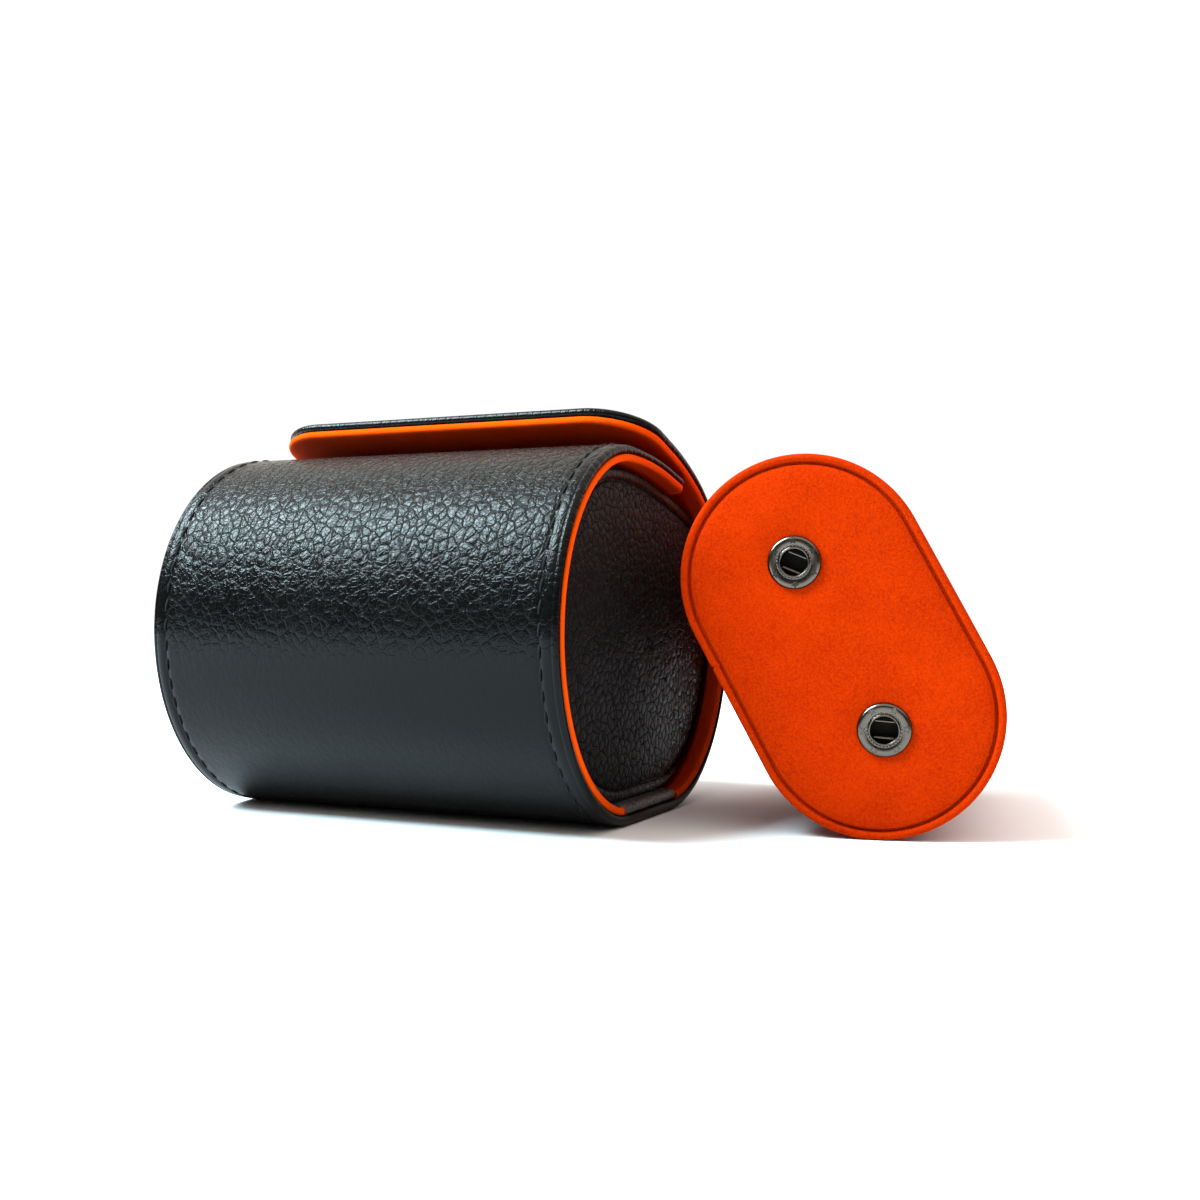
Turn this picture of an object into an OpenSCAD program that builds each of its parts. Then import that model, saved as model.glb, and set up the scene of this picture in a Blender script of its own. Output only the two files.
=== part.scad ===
// Single watch roll: an oval leather case with two flaps and two hinged end panels,
// and the padded pillow that snaps between the panels, standing beside it.
// X runs along the roll, Y from front to back, Z up. Z = 0 is the table.

/* [Case] */
// Length of the roll along its axis
case_l = 90; // [75:1:120]
// Width of the roll from front to back
case_w = 87; // [82:1:105]
// Height of the oval body
case_h = 74; // [70:1:90]
// Drop of the rounded front's top below that height
front_drop = 0.6; // [0:0.1:3]
// Depth of the front half oval
front_reach = 33; // [28:1:38]
// Depth of the back half oval
back_reach = 35; // [30:1:40]

/* [Layers of the wrap] */
// Thickness of the outer leather
leather_t = 1.0; // [0.8:0.1:1.4]
// Thickness of the stiffening board
board_t = 1.0; // [0.8:0.1:1.4]
// Thickness of the suede lining
lining_t = 1.4; // [1:0.1:2]
// Width of leather turned over each edge of the board
turn_w = 1.0; // [0.8:0.1:1.6]

/* [Outer flap] */
// Place of the flap's hinge on the back oval, in degrees above level
flap_hinge_a = 48; // [44:1:52]
// Place where the flap leaves the oval, in degrees above level
flap_bend_a = 62; // [58:1:66]
// Length of the flatter bend over the top
flap_bend_l = 16; // [12:1:20]
// Slope at which the open flap rises to its free edge, in degrees
flap_rise = 15.5; // [13:0.5:18]
// Distance of the open flap's free edge behind the top of the front oval
flap_edge_back = 2.4; // [0:0.2:4]
// Radius of the flap's two corners
flap_corner_r = 13; // [8:1:15]

/* [Inner flap] */
// Distance from the top of the front oval to the inner flap's hinge
lip_hinge_l = 4.6; // [3:0.2:6]
// Length of the bend in which the front top turns down
lip_bend_l = 20; // [16:1:24]
// Radius of that bend
lip_bend_r = 85; // [70:5:120]
// Distance from the top of the front oval to the inner flap's edge
lip_l = 28.4; // [26:0.2:30]
// Radius of the inner flap's two corners
lip_corner_r = 6; // [3:1:9]

/* [Closure] */
// Diameter of each magnet and of its keeper disc
magnet_d = 10; // [8:0.5:11]
// Thickness of each keeper disc
keeper_t = 0.6; // [0.4:0.1:0.7]
// Distance from a magnet's centre to the flap's free edge
magnet_edge = 9.5; // [9.5:0.5:11]
// Distance of each magnet from the middle of the roll
magnet_x = 22; // [15:1:28]

/* [End panels] */
// Depth of each end panel inside the end of the roll
panel_recess = 3.0; // [2.4:0.1:3.6]
// Thickness of a panel's leather
panel_skin_t = 0.8; // [0.6:0.1:1]
// Thickness of a panel's board
panel_board_t = 1.8; // [1.6:0.1:2.4]
// Thickness of a panel's suede
panel_lining_t = 1.0; // [0.8:0.1:1.4]
// Width of the leather rim round a panel
panel_rim_w = 2.2; // [1.8:0.1:3]
// Radius of a panel's top edge
panel_top_r = 110; // [90:5:140]
// Place of the highest point of that edge, from the middle of the roll
panel_top_y = -4; // [-6:0.5:-2]
// Distance of that point below the lining of the front oval's top
panel_top_gap = 3.3; // [3:0.1:5]
// Radius of the corners at the ends of that edge
panel_corner_r = 6; // [4:0.5:10]

/* [Hinge tabs] */
// Width of each leather hinge tab
tab_w = 26; // [20:1:30]
// Distance of a tab's centre in front of the middle of the roll
tab_y = 1.6; // [0:0.2:3]
// Length of the tab's part on the floor of the case
tab_floor_l = 12; // [10:1:16]
// Height of the tab's part on the panel
tab_leaf_h = 14; // [10:1:18]
// Thickness of the tab's leaf
tab_leaf_t = 0.5; // [0.4:0.1:0.6]

/* [Pillow] */
// Long width of the pillow's end
pillow_h = 73; // [66:1:76]
// Short width of the pillow's end
pillow_w = 45; // [40:1:50]
// Thickness of each end cap
cap_t = 4; // [3.5:0.5:6]
// Thickness of the pillow's suede
suede_t = 0.8; // [0.6:0.1:1.2]
// Width of the suede rim round each cap
cap_rim_w = 1.7; // [1.4:0.1:2.5]
// Distance that the wrapped cover lies inside the cap's edge
cover_inset = 1.0; // [0.4:0.1:2]
// Thickness of the padded cover
cover_t = 1.2; // [0.8:0.1:2]

/* [Snaps] */
// Distance between the two snaps of an end
snap_pitch = 34; // [28:1:38]
// Outer diameter of a snap socket
socket_d = 9.8; // [9:0.1:11]
// Height of a socket above the suede
socket_h = 1.1; // [0.8:0.1:1.3]
// Diameter of the hole in a socket
socket_hole_d = 4.9; // [4.6:0.1:5.4]
// Diameter of the spring wire in a socket
spring_d = 0.5; // [0.3:0.1:0.6]
// Turn of the upper snap's springs from the short width of the cap, in degrees
spring_turn_top = -50; // [-90:5:90]
// Turn of the lower snap's springs from the short width of the cap, in degrees
spring_turn_low = -32; // [-90:2:90]
// Height of a stud's head above its flange
stud_h = 2.4; // [2:0.1:2.6]
// Room at each end between the docked pillow's sockets and the studs' flanges
dock_gap = 1.6; // [1.2:0.1:3]
// Room between the docked pillow and the floor of the case
dock_floor_gap = 4.1; // [2:0.1:8]

/* [Pillow's place beside the case] */
// Place of the pillow's front face in front of the middle of the roll
pillow_fwd = 9.6; // [0:0.2:20]
// Turn of the pillow's axis away from the Y axis, in degrees
pillow_yaw = 11.5; // [0:0.5:13]
// Lean of the pillow towards the case, in degrees
pillow_lean = 28; // [20:1:32]

/* [Clearances] */
// Gap between the pillow and the corner of the case that it leans towards
lean_gap = 0.6; // [0.4:0.1:2]
// Gap between the case and each flap at its hinge
hinge_gap = 0.5; // [0.4:0.1:0.7]
// Gap between a panel's edge and the lining
panel_gap = 0.8; // [0.7:0.1:1.2]
// Gap between the tab's leaf and the tab on the floor
leaf_gap = 0.3; // [0.2:0.05:0.3]
// Gap of a seam between two sheets
seam_gap = 0.3; // [0.2:0.1:0.5]
// Gap between a fitting and its hole
fit_gap = 0.1; // [0.05:0.05:0.2]

/* [Hidden] */

BLACK = "#1d1b1b";
ORANGE = "#e8480a";
CARD = "#b9a888";
FOAM = "#d9692c";
STEEL = "#8d8f92";
GUNMETAL = "#6f6a66";

half_l = case_l / 2;
axis_h = case_h / 2;
front_top_h = case_h - front_drop;
wrap_t = leather_t + board_t + lining_t;
lining_d = leather_t + board_t;
front_y = front_reach - case_w / 2;
back_y = case_w / 2 - back_reach;
// Degrees between two points of an oval, and steps in a bend and in a rounded corner
step_a = 5;
bend_n = 8;
corner_n = 8;
// Overshoot of a cut past the face that it opens
cut = 0.5;

panel_face_x = half_l - panel_recess;
panel_t = panel_skin_t + panel_board_t + panel_lining_t;
panel_back_x = panel_face_x - panel_t;
panel_board_x = panel_back_x + panel_lining_t;
panel_skin_x = panel_face_x - panel_skin_t;
panel_top_z = front_top_h - wrap_t - panel_top_gap;
leaf_d = wrap_t + leaf_gap;
leaf_x = panel_back_x - tab_leaf_t;
tab_front_y = -tab_y - tab_w / 2;

magnet_r = magnet_d / 2;
hole_r = socket_hole_d / 2;
edge_r = socket_d / 2;

// Stud: flange, neck and head, riveted through the panel by a pin from its board
stud_flange_t = 0.7;
stud_chamfer = 0.4;
stud_neck_r = 1.7;
stud_neck_h = 0.7;
stud_slope = 0.6;
stud_head_r = hole_r - fit_gap;
shank_r = 1.5;
pin_r = 0.9;
rivet_r = 3.5;
rivet_t = 0.5;
rivet_d = panel_lining_t + panel_board_t;

// Length of the pillow and height of the studs, so that it docks between the panels
pillow_l = 2 * (panel_back_x - stud_flange_t - socket_h - dock_gap);
stud_z = wrap_t + dock_floor_gap + pillow_w / 2;

// Socket: barrel through the cap, rounded plate, ring of the hole and raised stars
barrel_r = hole_r + 0.45;
plate_round = 0.6;
ring_h = 0.15;
ring_w = 0.4;
ring_slope = 0.1;
plate_z = socket_h - ring_h;
star_n = 6;
star_r = 0.8;
star_hollow_r = 0.4;
star_place_r = edge_r - star_r - 0.15;
star_h = 0.15;
star_turn = 5;
washer_r = 4.4;
washer_t = 0.5;
pocket_depth = 2.5;
spring_off = 1.5;
spring_depth = 0.5;

// Evenly spaced values from a to b in n steps
function span(a, b, n) = [for (i = [0:n]) a + (b - a) * i / n];

// Degrees of the back oval at angle a that a length along it takes up
function oval_degrees(a, length) =
    length / norm([back_reach * sin(a), axis_h * cos(a)]) * 180 / PI;

// Point on an oval at angle a, moved inwards by depth d
function oval_pt(cy, ry, rz, a, d) =
    let (n = [cos(a) / ry, sin(a) / rz], m = n / norm(n))
    [cy + ry * cos(a) - d * m[0], axis_h + rz * sin(a) - d * m[1]];
function front_pt(a, d) =
    oval_pt(front_y, front_reach, a < 180 ? front_top_h - axis_h : axis_h, a, d);
function back_pt(a, d) = oval_pt(back_y, back_reach, axis_h, a, d);

// Point on the front top, s along it from the top of the front oval, at depth d
function lip_turn(s) = min(s, lip_bend_l) / lip_bend_r * 180 / PI;
function lip_pt(s, d) =
    let (t = lip_turn(s), run = max(s - lip_bend_l, 0))
    [front_y + lip_bend_r * sin(t) + run * cos(t) - d * sin(t),
     front_top_h - lip_bend_r * (1 - cos(t)) - run * sin(t) - d * cos(t)];

// Point on the outer flap, s along it from where it leaves the oval, at depth d
flap_h0 = atan2(axis_h * cos(flap_bend_a), -back_reach * sin(flap_bend_a));
flap_h1 = 180 - flap_rise;
flap_r = flap_bend_l / ((flap_h1 - flap_h0) * PI / 180);
function flap_heading(s) = flap_h0 + (flap_h1 - flap_h0) * min(s / flap_bend_l, 1);
function flap_pt(s, d) =
    let (h = flap_heading(s), run = max(s - flap_bend_l, 0), p = back_pt(flap_bend_a, 0))
    p + flap_r * [sin(h) - sin(flap_h0), cos(flap_h0) - cos(h)]
      + run * [cos(h), sin(h)] + d * [-sin(h), cos(h)];
flap_edge_y = front_y + flap_edge_back;
flap_l = flap_bend_l + (flap_pt(flap_bend_l, 0)[0] - flap_edge_y) / cos(flap_rise);
lip_edge_y = lip_pt(lip_l, 0)[0];
magnet_s = flap_l - magnet_edge;
// Place of the keepers along the front top, level with the magnets
keeper_s = lip_bend_r * asin((flap_pt(magnet_s, 0)[0] - front_y) / lip_bend_r) * PI / 180;

// Line of each sheet at depth d, seen along the roll
back_end_a = 360 + flap_hinge_a - oval_degrees(flap_hinge_a, hinge_gap / 2);
function case_line(d) = concat(
    [for (s = span(lip_hinge_l - hinge_gap / 2, 0, 2)) lip_pt(s, d)],
    [for (a = [90 + step_a:step_a:270]) front_pt(a, d)],
    [for (a = [270:step_a:back_end_a - step_a]) back_pt(a, d)],
    [back_pt(back_end_a, d)]);
function lip_line(d) =
    [for (s = span(lip_hinge_l + hinge_gap / 2, lip_l + cut, bend_n)) lip_pt(s, d)];
function flap_line(d) = concat(
    [for (a = span(flap_hinge_a + oval_degrees(flap_hinge_a, hinge_gap / 2),
                   flap_bend_a, bend_n / 2)) back_pt(a, d)],
    [for (s = span(flap_bend_l / bend_n, flap_bend_l, bend_n - 1)) flap_pt(s, d)],
    [flap_pt(flap_l + 2 * cut, d)]);

function reversed(p) = [for (i = [len(p) - 1:-1:0]) p[i]];

// Point t away from a towards b, and a line with both ends drawn back by t
function towards(a, b, t) = a + (b - a) * t / norm(b - a);
function drawn_back(p, t) =
    let (n = len(p) - 1)
    [for (i = [0:n]) i == 0 ? towards(p[0], p[1], t)
                   : i == n ? towards(p[n], p[n - 1], t) : p[i]];

// Line as far beyond b as b is from a
function beyond(a, b) = [for (i = [0:len(a) - 1]) 2 * b[i] - a[i]];

// Outline of a stadium, its long way along the second axis
function stadium(h, w) =
    let (r = w / 2, c = (h - w) / 2)
    concat([for (a = [0:step_a:180]) [r * cos(a), c + r * sin(a)]],
           [for (a = [180:step_a:360]) [r * cos(a), -c + r * sin(a)]]);

function arc_pts(c, r, a0, a1, n) = [for (a = span(a0, a1, n)) c + r * [cos(a), sin(a)]];

// Corners of a panel: their centres lie where the oval and the top arc, both drawn in by the
// corners' radius, meet, and the angle of that place on each oval is found by halving
top_c = [panel_top_y, panel_top_z - panel_top_r];
corner_d = wrap_t + panel_gap + panel_corner_r;
function above_top(p) = norm(p - top_c) > panel_top_r - panel_corner_r;
function front_meet(low, high, n) =
    let (a = (low + high) / 2)
    n == 0 ? a : above_top(front_pt(a, corner_d)) ? front_meet(a, high, n - 1)
                                                  : front_meet(low, a, n - 1);
function back_meet(low, high, n) =
    let (a = (low + high) / 2)
    n == 0 ? a : above_top(back_pt(a, corner_d)) ? back_meet(low, a, n - 1)
                                                 : back_meet(a, high, n - 1);
corner_f = front_meet(90, 180, 24);
corner_b = back_meet(360, 450, 24);
centre_f = front_pt(corner_f, corner_d);
centre_b = back_pt(corner_b, corner_d);
function top_a(c) = atan2(c[1] - top_c[1], c[0] - top_c[0]);
function normal_a(reach, a) =
    atan2(sin(a) / (a < 180 ? front_top_h - axis_h : axis_h), cos(a) / reach);

module sheet(outer, inner) {
    polygon(concat(outer, reversed(inner)));
}

// Section of a board inside its turned leather, or of the opening that the leather leaves
module inlay(outer, inner, open) {
    a = drawn_back(outer, turn_w);
    b = drawn_back(inner, turn_w);
    sheet(a, open ? beyond(a, b) : b);
}

// Slab of a Y-Z outline between two places along the roll
module slab(x0, x1) {
    translate([x0, 0, 0]) rotate([90, 0, 90]) linear_extrude(x1 - x0) children();
}

// Whole inside of the oval at depth d
module oval(d) {
    polygon(concat([for (a = [90:step_a:270]) front_pt(a, d)],
                   [for (a = [270:step_a:450]) back_pt(a, d)]));
}

// Trims the children to a flap's plan, rounded at its free edge: dir is 1 where that faces +Y
module trimmed(edge_y, corner_r, inset, dir) {
    x = half_l - inset;
    y = edge_y - dir * inset;
    r = corner_r - inset;
    arc = [for (p = arc_pts([x - r, -r], r, 0, 90, corner_n)) [p[0], y + dir * p[1]]];
    root = y - dir * case_w;
    intersection() {
        children();
        linear_extrude(2 * case_h)
            polygon(concat([[x, root]], arc,
                           [for (p = reversed(arc)) [-p[0], p[1]]], [[-x, root]]));
    }
}

module case_band(d0, d1) {
    slab(-half_l, half_l) sheet(case_line(d0), case_line(d1));
}

module case_inlay(open) {
    slab(turn_w - half_l, half_l - turn_w)
        inlay(case_line(leather_t), case_line(lining_d), open);
}

module lip_band(d0, d1) {
    trimmed(lip_edge_y, lip_corner_r, 0, 1)
        slab(-half_l - cut, half_l + cut) sheet(lip_line(d0), lip_line(d1));
}

module lip_inlay(open) {
    trimmed(lip_edge_y, lip_corner_r, turn_w, 1)
        slab(-half_l, half_l) inlay(lip_line(leather_t), lip_line(lining_d), open);
}

module flap_band(d0, d1) {
    trimmed(flap_edge_y, flap_corner_r, 0, -1)
        slab(-half_l - cut, half_l + cut) sheet(flap_line(d0), flap_line(d1));
}

module flap_inlay(open) {
    trimmed(flap_edge_y, flap_corner_r, turn_w, -1)
        slab(-half_l, half_l) inlay(flap_line(leather_t), flap_line(lining_d), open);
}

// Place the children at both magnets or keepers, their Z pointing out of the flap
module at_magnets() {
    p = flap_pt(magnet_s, 0);
    for (side = [-1, 1])
        translate([side * magnet_x, p[0], p[1]]) rotate([-flap_rise, 0, 0]) children();
}

module at_keepers() {
    p = lip_pt(keeper_s, 0);
    for (side = [-1, 1])
        translate([side * magnet_x, p[0], p[1]]) rotate([-lip_turn(keeper_s), 0, 0]) children();
}

// Disc of thickness t, its top at depth d
module disc(r, t, d) {
    translate([0, 0, -d - t]) cylinder(h = t, r = r, $fn = 48);
}

module magnet_hole() {
    disc(magnet_r + fit_gap, board_t + 2 * cut, leather_t - cut);
}

module case_leather() {
    color(BLACK) difference() {
        case_band(0, lining_d);
        case_inlay(true);
    }
}

module case_board() {
    color(CARD) case_inlay(false);
}

// Space that a hinge tab takes on the floor of the case
module tab_space() {
    translate([half_l - tab_floor_l, tab_front_y, -cut])
        cube([tab_floor_l + cut, tab_w, axis_h / 2]);
}

module case_lining() {
    color(ORANGE) difference() {
        case_band(lining_d, wrap_t);
        tab_space();
        mirror([1, 0, 0]) tab_space();
    }
}

module tab() {
    color(BLACK) intersection() {
        case_band(lining_d, wrap_t);
        tab_space();
    }
}

module inner_flap_leather() {
    color(BLACK) difference() {
        lip_band(0, lining_d);
        lip_inlay(true);
    }
}

module inner_flap_board() {
    color(CARD) difference() {
        lip_inlay(false);
        at_keepers() magnet_hole();
    }
}

module inner_flap_lining() {
    color(ORANGE) lip_band(lining_d, wrap_t);
}

module inner_flap_keepers() {
    color(STEEL) at_keepers() disc(magnet_r, keeper_t, lining_d - keeper_t - fit_gap);
}

module outer_flap_leather() {
    color(BLACK) difference() {
        flap_band(0, lining_d);
        flap_inlay(true);
    }
}

module outer_flap_board() {
    color(CARD) difference() {
        flap_inlay(false);
        at_magnets() magnet_hole();
    }
}

module outer_flap_lining() {
    color(ORANGE) flap_band(lining_d, wrap_t);
}

module outer_flap_magnets() {
    color(STEEL) at_magnets() disc(magnet_r, board_t, leather_t);
}

// Outline of an end panel, drawn in by inset: the oval inside the lining, cut by a shallow
// arc and rounded where the two meet
module panel_outline(inset) {
    d = wrap_t + panel_gap + inset;
    r = panel_corner_r - inset;
    polygon(concat(
        [front_pt(corner_f, d)],
        [for (a = [floor(corner_f / step_a + 1) * step_a:step_a:270]) front_pt(a, d)],
        [for (a = [270 + step_a:step_a:corner_b]) back_pt(a, d)],
        arc_pts(centre_b, r, normal_a(back_reach, corner_b), top_a(centre_b), corner_n),
        arc_pts(top_c, panel_top_r - inset, top_a(centre_b), top_a(centre_f), 2 * corner_n),
        arc_pts(centre_f, r, top_a(centre_f), normal_a(front_reach, corner_f), corner_n)));
}

// Places the children on the inner face of a panel, their Z pointing into the case
module at_studs() {
    for (side = [-1, 1])
        translate([panel_back_x, side * snap_pitch / 2, stud_z]) rotate([0, -90, 0]) children();
}

module shank_holes() {
    at_studs() disc(shank_r + fit_gap, panel_t + cut, -cut);
}

module panel_board() {
    color(CARD) difference() {
        slab(panel_board_x, panel_skin_x) panel_outline(panel_skin_t);
        shank_holes();
        at_studs() disc(rivet_r + fit_gap, rivet_t + cut, rivet_d - rivet_t);
    }
}

module panel_rim() {
    color(BLACK) difference() {
        slab(panel_board_x, panel_face_x) panel_outline(0);
        slab(panel_board_x - cut, panel_skin_x) panel_outline(panel_skin_t);
        slab(panel_skin_x - cut, panel_face_x + cut) panel_outline(panel_rim_w);
    }
}

module panel_face() {
    color(BLACK) slab(panel_skin_x, panel_face_x - fit_gap) panel_outline(panel_rim_w + seam_gap);
}

module panel_lining() {
    color(ORANGE) difference() {
        slab(panel_back_x, panel_board_x) panel_outline(0);
        shank_holes();
    }
}

// Moving leaf of the hinge tab: it runs from the fold at the end of the roll in under the
// panel and up the panel's inner face
module panel_leaf() {
    color(BLACK) intersection() {
        union() {
            slab(leaf_x, half_l - cut) difference() {
                oval(leaf_d);
                oval(leaf_d + tab_leaf_t);
            }
            slab(leaf_x, panel_back_x) oval(leaf_d);
        }
        translate([leaf_x, tab_front_y, 0]) cube([tab_floor_l, tab_w, leaf_d + tab_leaf_h]);
    }
}

module panel_studs() {
    head_z = stud_flange_t + stud_h;
    color(GUNMETAL) at_studs() difference() {
        rotate_extrude($fn = 48) polygon([
            [0, rivet_t - rivet_d], [shank_r, rivet_t - rivet_d],
            [shank_r, 0], [edge_r, 0],
            [edge_r, stud_flange_t - stud_chamfer], [edge_r - stud_chamfer, stud_flange_t],
            [stud_neck_r, stud_flange_t], [stud_neck_r, stud_flange_t + stud_neck_h],
            [stud_head_r, stud_flange_t + stud_neck_h + stud_slope],
            [stud_head_r, head_z - stud_slope], [stud_neck_r, head_z], [0, head_z]]);
        disc(pin_r + fit_gap, panel_t, 0);
    }
}

module panel_rivets() {
    color(STEEL) at_studs() {
        disc(rivet_r, rivet_t, rivet_d - rivet_t);
        disc(pin_r, rivet_d - fit_gap, fit_gap);
    }
}

// Height of the leaning pillow's centre, when it stands on its lower round end
pillow_side = (pillow_h - pillow_w) / 2;
pillow_z = pillow_side * cos(pillow_lean) + pillow_w / 2;

// Its upper round end comes near the case's back corner at one height, and the distance of its
// front face from the end of the roll follows from that corner's place along its side
lean_z = pillow_z + pillow_side * cos(pillow_lean);
lean_reach = pillow_side * sin(pillow_lean) + pillow_w / 2 - cover_inset;
lean_y = back_y + back_reach * sqrt(1 - pow(lean_z / axis_h - 1, 2));
lean_l = min((lean_y + pillow_fwd + lean_reach * sin(pillow_yaw)) / cos(pillow_yaw), pillow_l);
pillow_out = lean_gap + lean_reach * cos(pillow_yaw) + lean_l * sin(pillow_yaw);

// Places the children on the pillow: X across its end, Z up its long way, Y back along its axis
module on_pillow() {
    translate([half_l + pillow_out, -pillow_fwd, pillow_z])
        rotate([0, 0, pillow_yaw]) rotate([0, -pillow_lean, 0]) children();
}

// Slab of the pillow's end outline, drawn in by inset, between two places along its axis
module pillow_slab(y0, y1, inset) {
    translate([0, y1, 0]) rotate([90, 0, 0]) linear_extrude(y1 - y0)
        polygon(stadium(pillow_h - 2 * inset, pillow_w - 2 * inset));
}

// Turns an end cap round to the pillow's back end
module back_end() {
    translate([0, pillow_l, 0]) mirror([0, 1, 0]) children();
}

// Places the children at the snaps of one cap, their Z pointing out of the pillow
module at_snap(side, turn) {
    translate([0, 0, side * snap_pitch / 2]) rotate([90, 0, 0]) rotate([0, 0, turn]) children();
}

module at_snaps(turn_top = 0, turn_low = 0) {
    at_snap(1, turn_top) children();
    at_snap(-1, turn_low) children();
}

module cap_board() {
    color(CARD) difference() {
        pillow_slab(suede_t, cap_t, suede_t);
        at_snaps() disc(barrel_r + fit_gap, cap_t + cut, 0);
    }
}

module cap_rim() {
    color(ORANGE) difference() {
        pillow_slab(0, cap_t, 0);
        pillow_slab(suede_t, cap_t + cut, suede_t);
        pillow_slab(-cut, suede_t + cut, cap_rim_w);
    }
}

module cap_face() {
    color(ORANGE) difference() {
        pillow_slab(fit_gap, suede_t, cap_rim_w + seam_gap);
        at_snaps() disc(barrel_r + fit_gap, cap_t, 0);
    }
}

module core_pockets() {
    at_snaps() disc(washer_r + fit_gap, cap_t + pocket_depth, 0);
}

module pillow_core() {
    color(FOAM) difference() {
        pillow_slab(cap_t, pillow_l - cap_t, cover_inset + cover_t);
        core_pockets();
        back_end() core_pockets();
    }
}

module pillow_cover() {
    color(ORANGE) difference() {
        pillow_slab(cap_t, pillow_l - cap_t, cover_inset);
        pillow_slab(cap_t - cut, pillow_l - cap_t + cut, cover_inset + cover_t);
    }
}

module star() {
    points = [for (i = [0:9]) (i % 2 == 0 ? star_r : star_hollow_r) * [cos(36 * i), sin(36 * i)]];
    translate([star_place_r, 0, plate_z - plate_round / 2])
        linear_extrude(plate_round / 2 + star_h) polygon(points);
}

module socket() {
    rotate_extrude($fn = 64) polygon(concat(
        [[hole_r, -cap_t - washer_t], [barrel_r, -cap_t - washer_t], [barrel_r, -fit_gap],
         [edge_r, -fit_gap]],
        [for (a = span(0, 90, 4))
            [edge_r, plate_z] + plate_round * [cos(a) - 1, sin(a) - 1]],
        [[hole_r + ring_w, plate_z], [hole_r + ring_w - ring_slope, socket_h],
         [hole_r + ring_slope, socket_h], [hole_r, socket_h - ring_slope]]));
    for (i = [0:star_n - 1]) rotate([0, 0, star_turn + i * 360 / star_n]) star();
}

module snap_sockets() {
    color(GUNMETAL) {
        at_snaps() socket();
        back_end() at_snaps() socket();
    }
}

module springs() {
    chord = 2 * sqrt(pow(hole_r, 2) - pow(spring_off + spring_d / 2, 2));
    for (side = [-1, 1])
        translate([0, side * spring_off, -spring_depth]) rotate([0, 90, 0])
            cylinder(h = chord, d = spring_d, center = true, $fn = 24);
}

module snap_springs() {
    color(STEEL) {
        at_snaps(spring_turn_top, spring_turn_low) springs();
        back_end() at_snaps(spring_turn_top, spring_turn_low) springs();
    }
}

module washer() {
    difference() {
        disc(washer_r, washer_t, cap_t);
        disc(barrel_r + fit_gap, washer_t + 2 * cut, cap_t - cut);
    }
}

module snap_washers() {
    color(STEEL) {
        at_snaps() washer();
        back_end() at_snaps() washer();
    }
}

module left() {
    mirror([1, 0, 0]) children();
}

case_leather();
case_board();
case_lining();
inner_flap_leather();
inner_flap_board();
inner_flap_lining();
inner_flap_keepers();
outer_flap_leather();
outer_flap_board();
outer_flap_lining();
outer_flap_magnets();
tab();  // right_tab
left() tab();  // left_tab
panel_board();  // right_panel_board
panel_rim();  // right_panel_rim
panel_face();  // right_panel_face
panel_lining();  // right_panel_lining
panel_leaf();  // right_panel_leaf
panel_studs();  // right_panel_studs
panel_rivets();  // right_panel_rivets
left() panel_board();  // left_panel_board
left() panel_rim();  // left_panel_rim
left() panel_face();  // left_panel_face
left() panel_lining();  // left_panel_lining
left() panel_leaf();  // left_panel_leaf
left() panel_studs();  // left_panel_studs
left() panel_rivets();  // left_panel_rivets
on_pillow() pillow_core();
on_pillow() pillow_cover();
on_pillow() cap_board();  // pillow_front_board
on_pillow() cap_rim();  // pillow_front_rim
on_pillow() cap_face();  // pillow_front_face
on_pillow() back_end() cap_board();  // pillow_back_board
on_pillow() back_end() cap_rim();  // pillow_back_rim
on_pillow() back_end() cap_face();  // pillow_back_face
on_pillow() snap_sockets();
on_pillow() snap_springs();
on_pillow() snap_washers();
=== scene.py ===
"""Looks of a single watch roll: an oval leather case with two flaps and two hinged end
panels, and its padded suede pillow standing beside it.

Sizes are in millimetres in the classes and turned to metres where a mesh is placed. X runs
along the roll, Y from front to back and Z up, as in the frame.
"""

import contextlib
import logging
import math
from collections.abc import Callable, Iterator, Sequence
from dataclasses import dataclass, field
from enum import Enum
from functools import partial

import bmesh
import bpy
import numpy as np
from mathutils import Euler, Matrix, Vector


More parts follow.
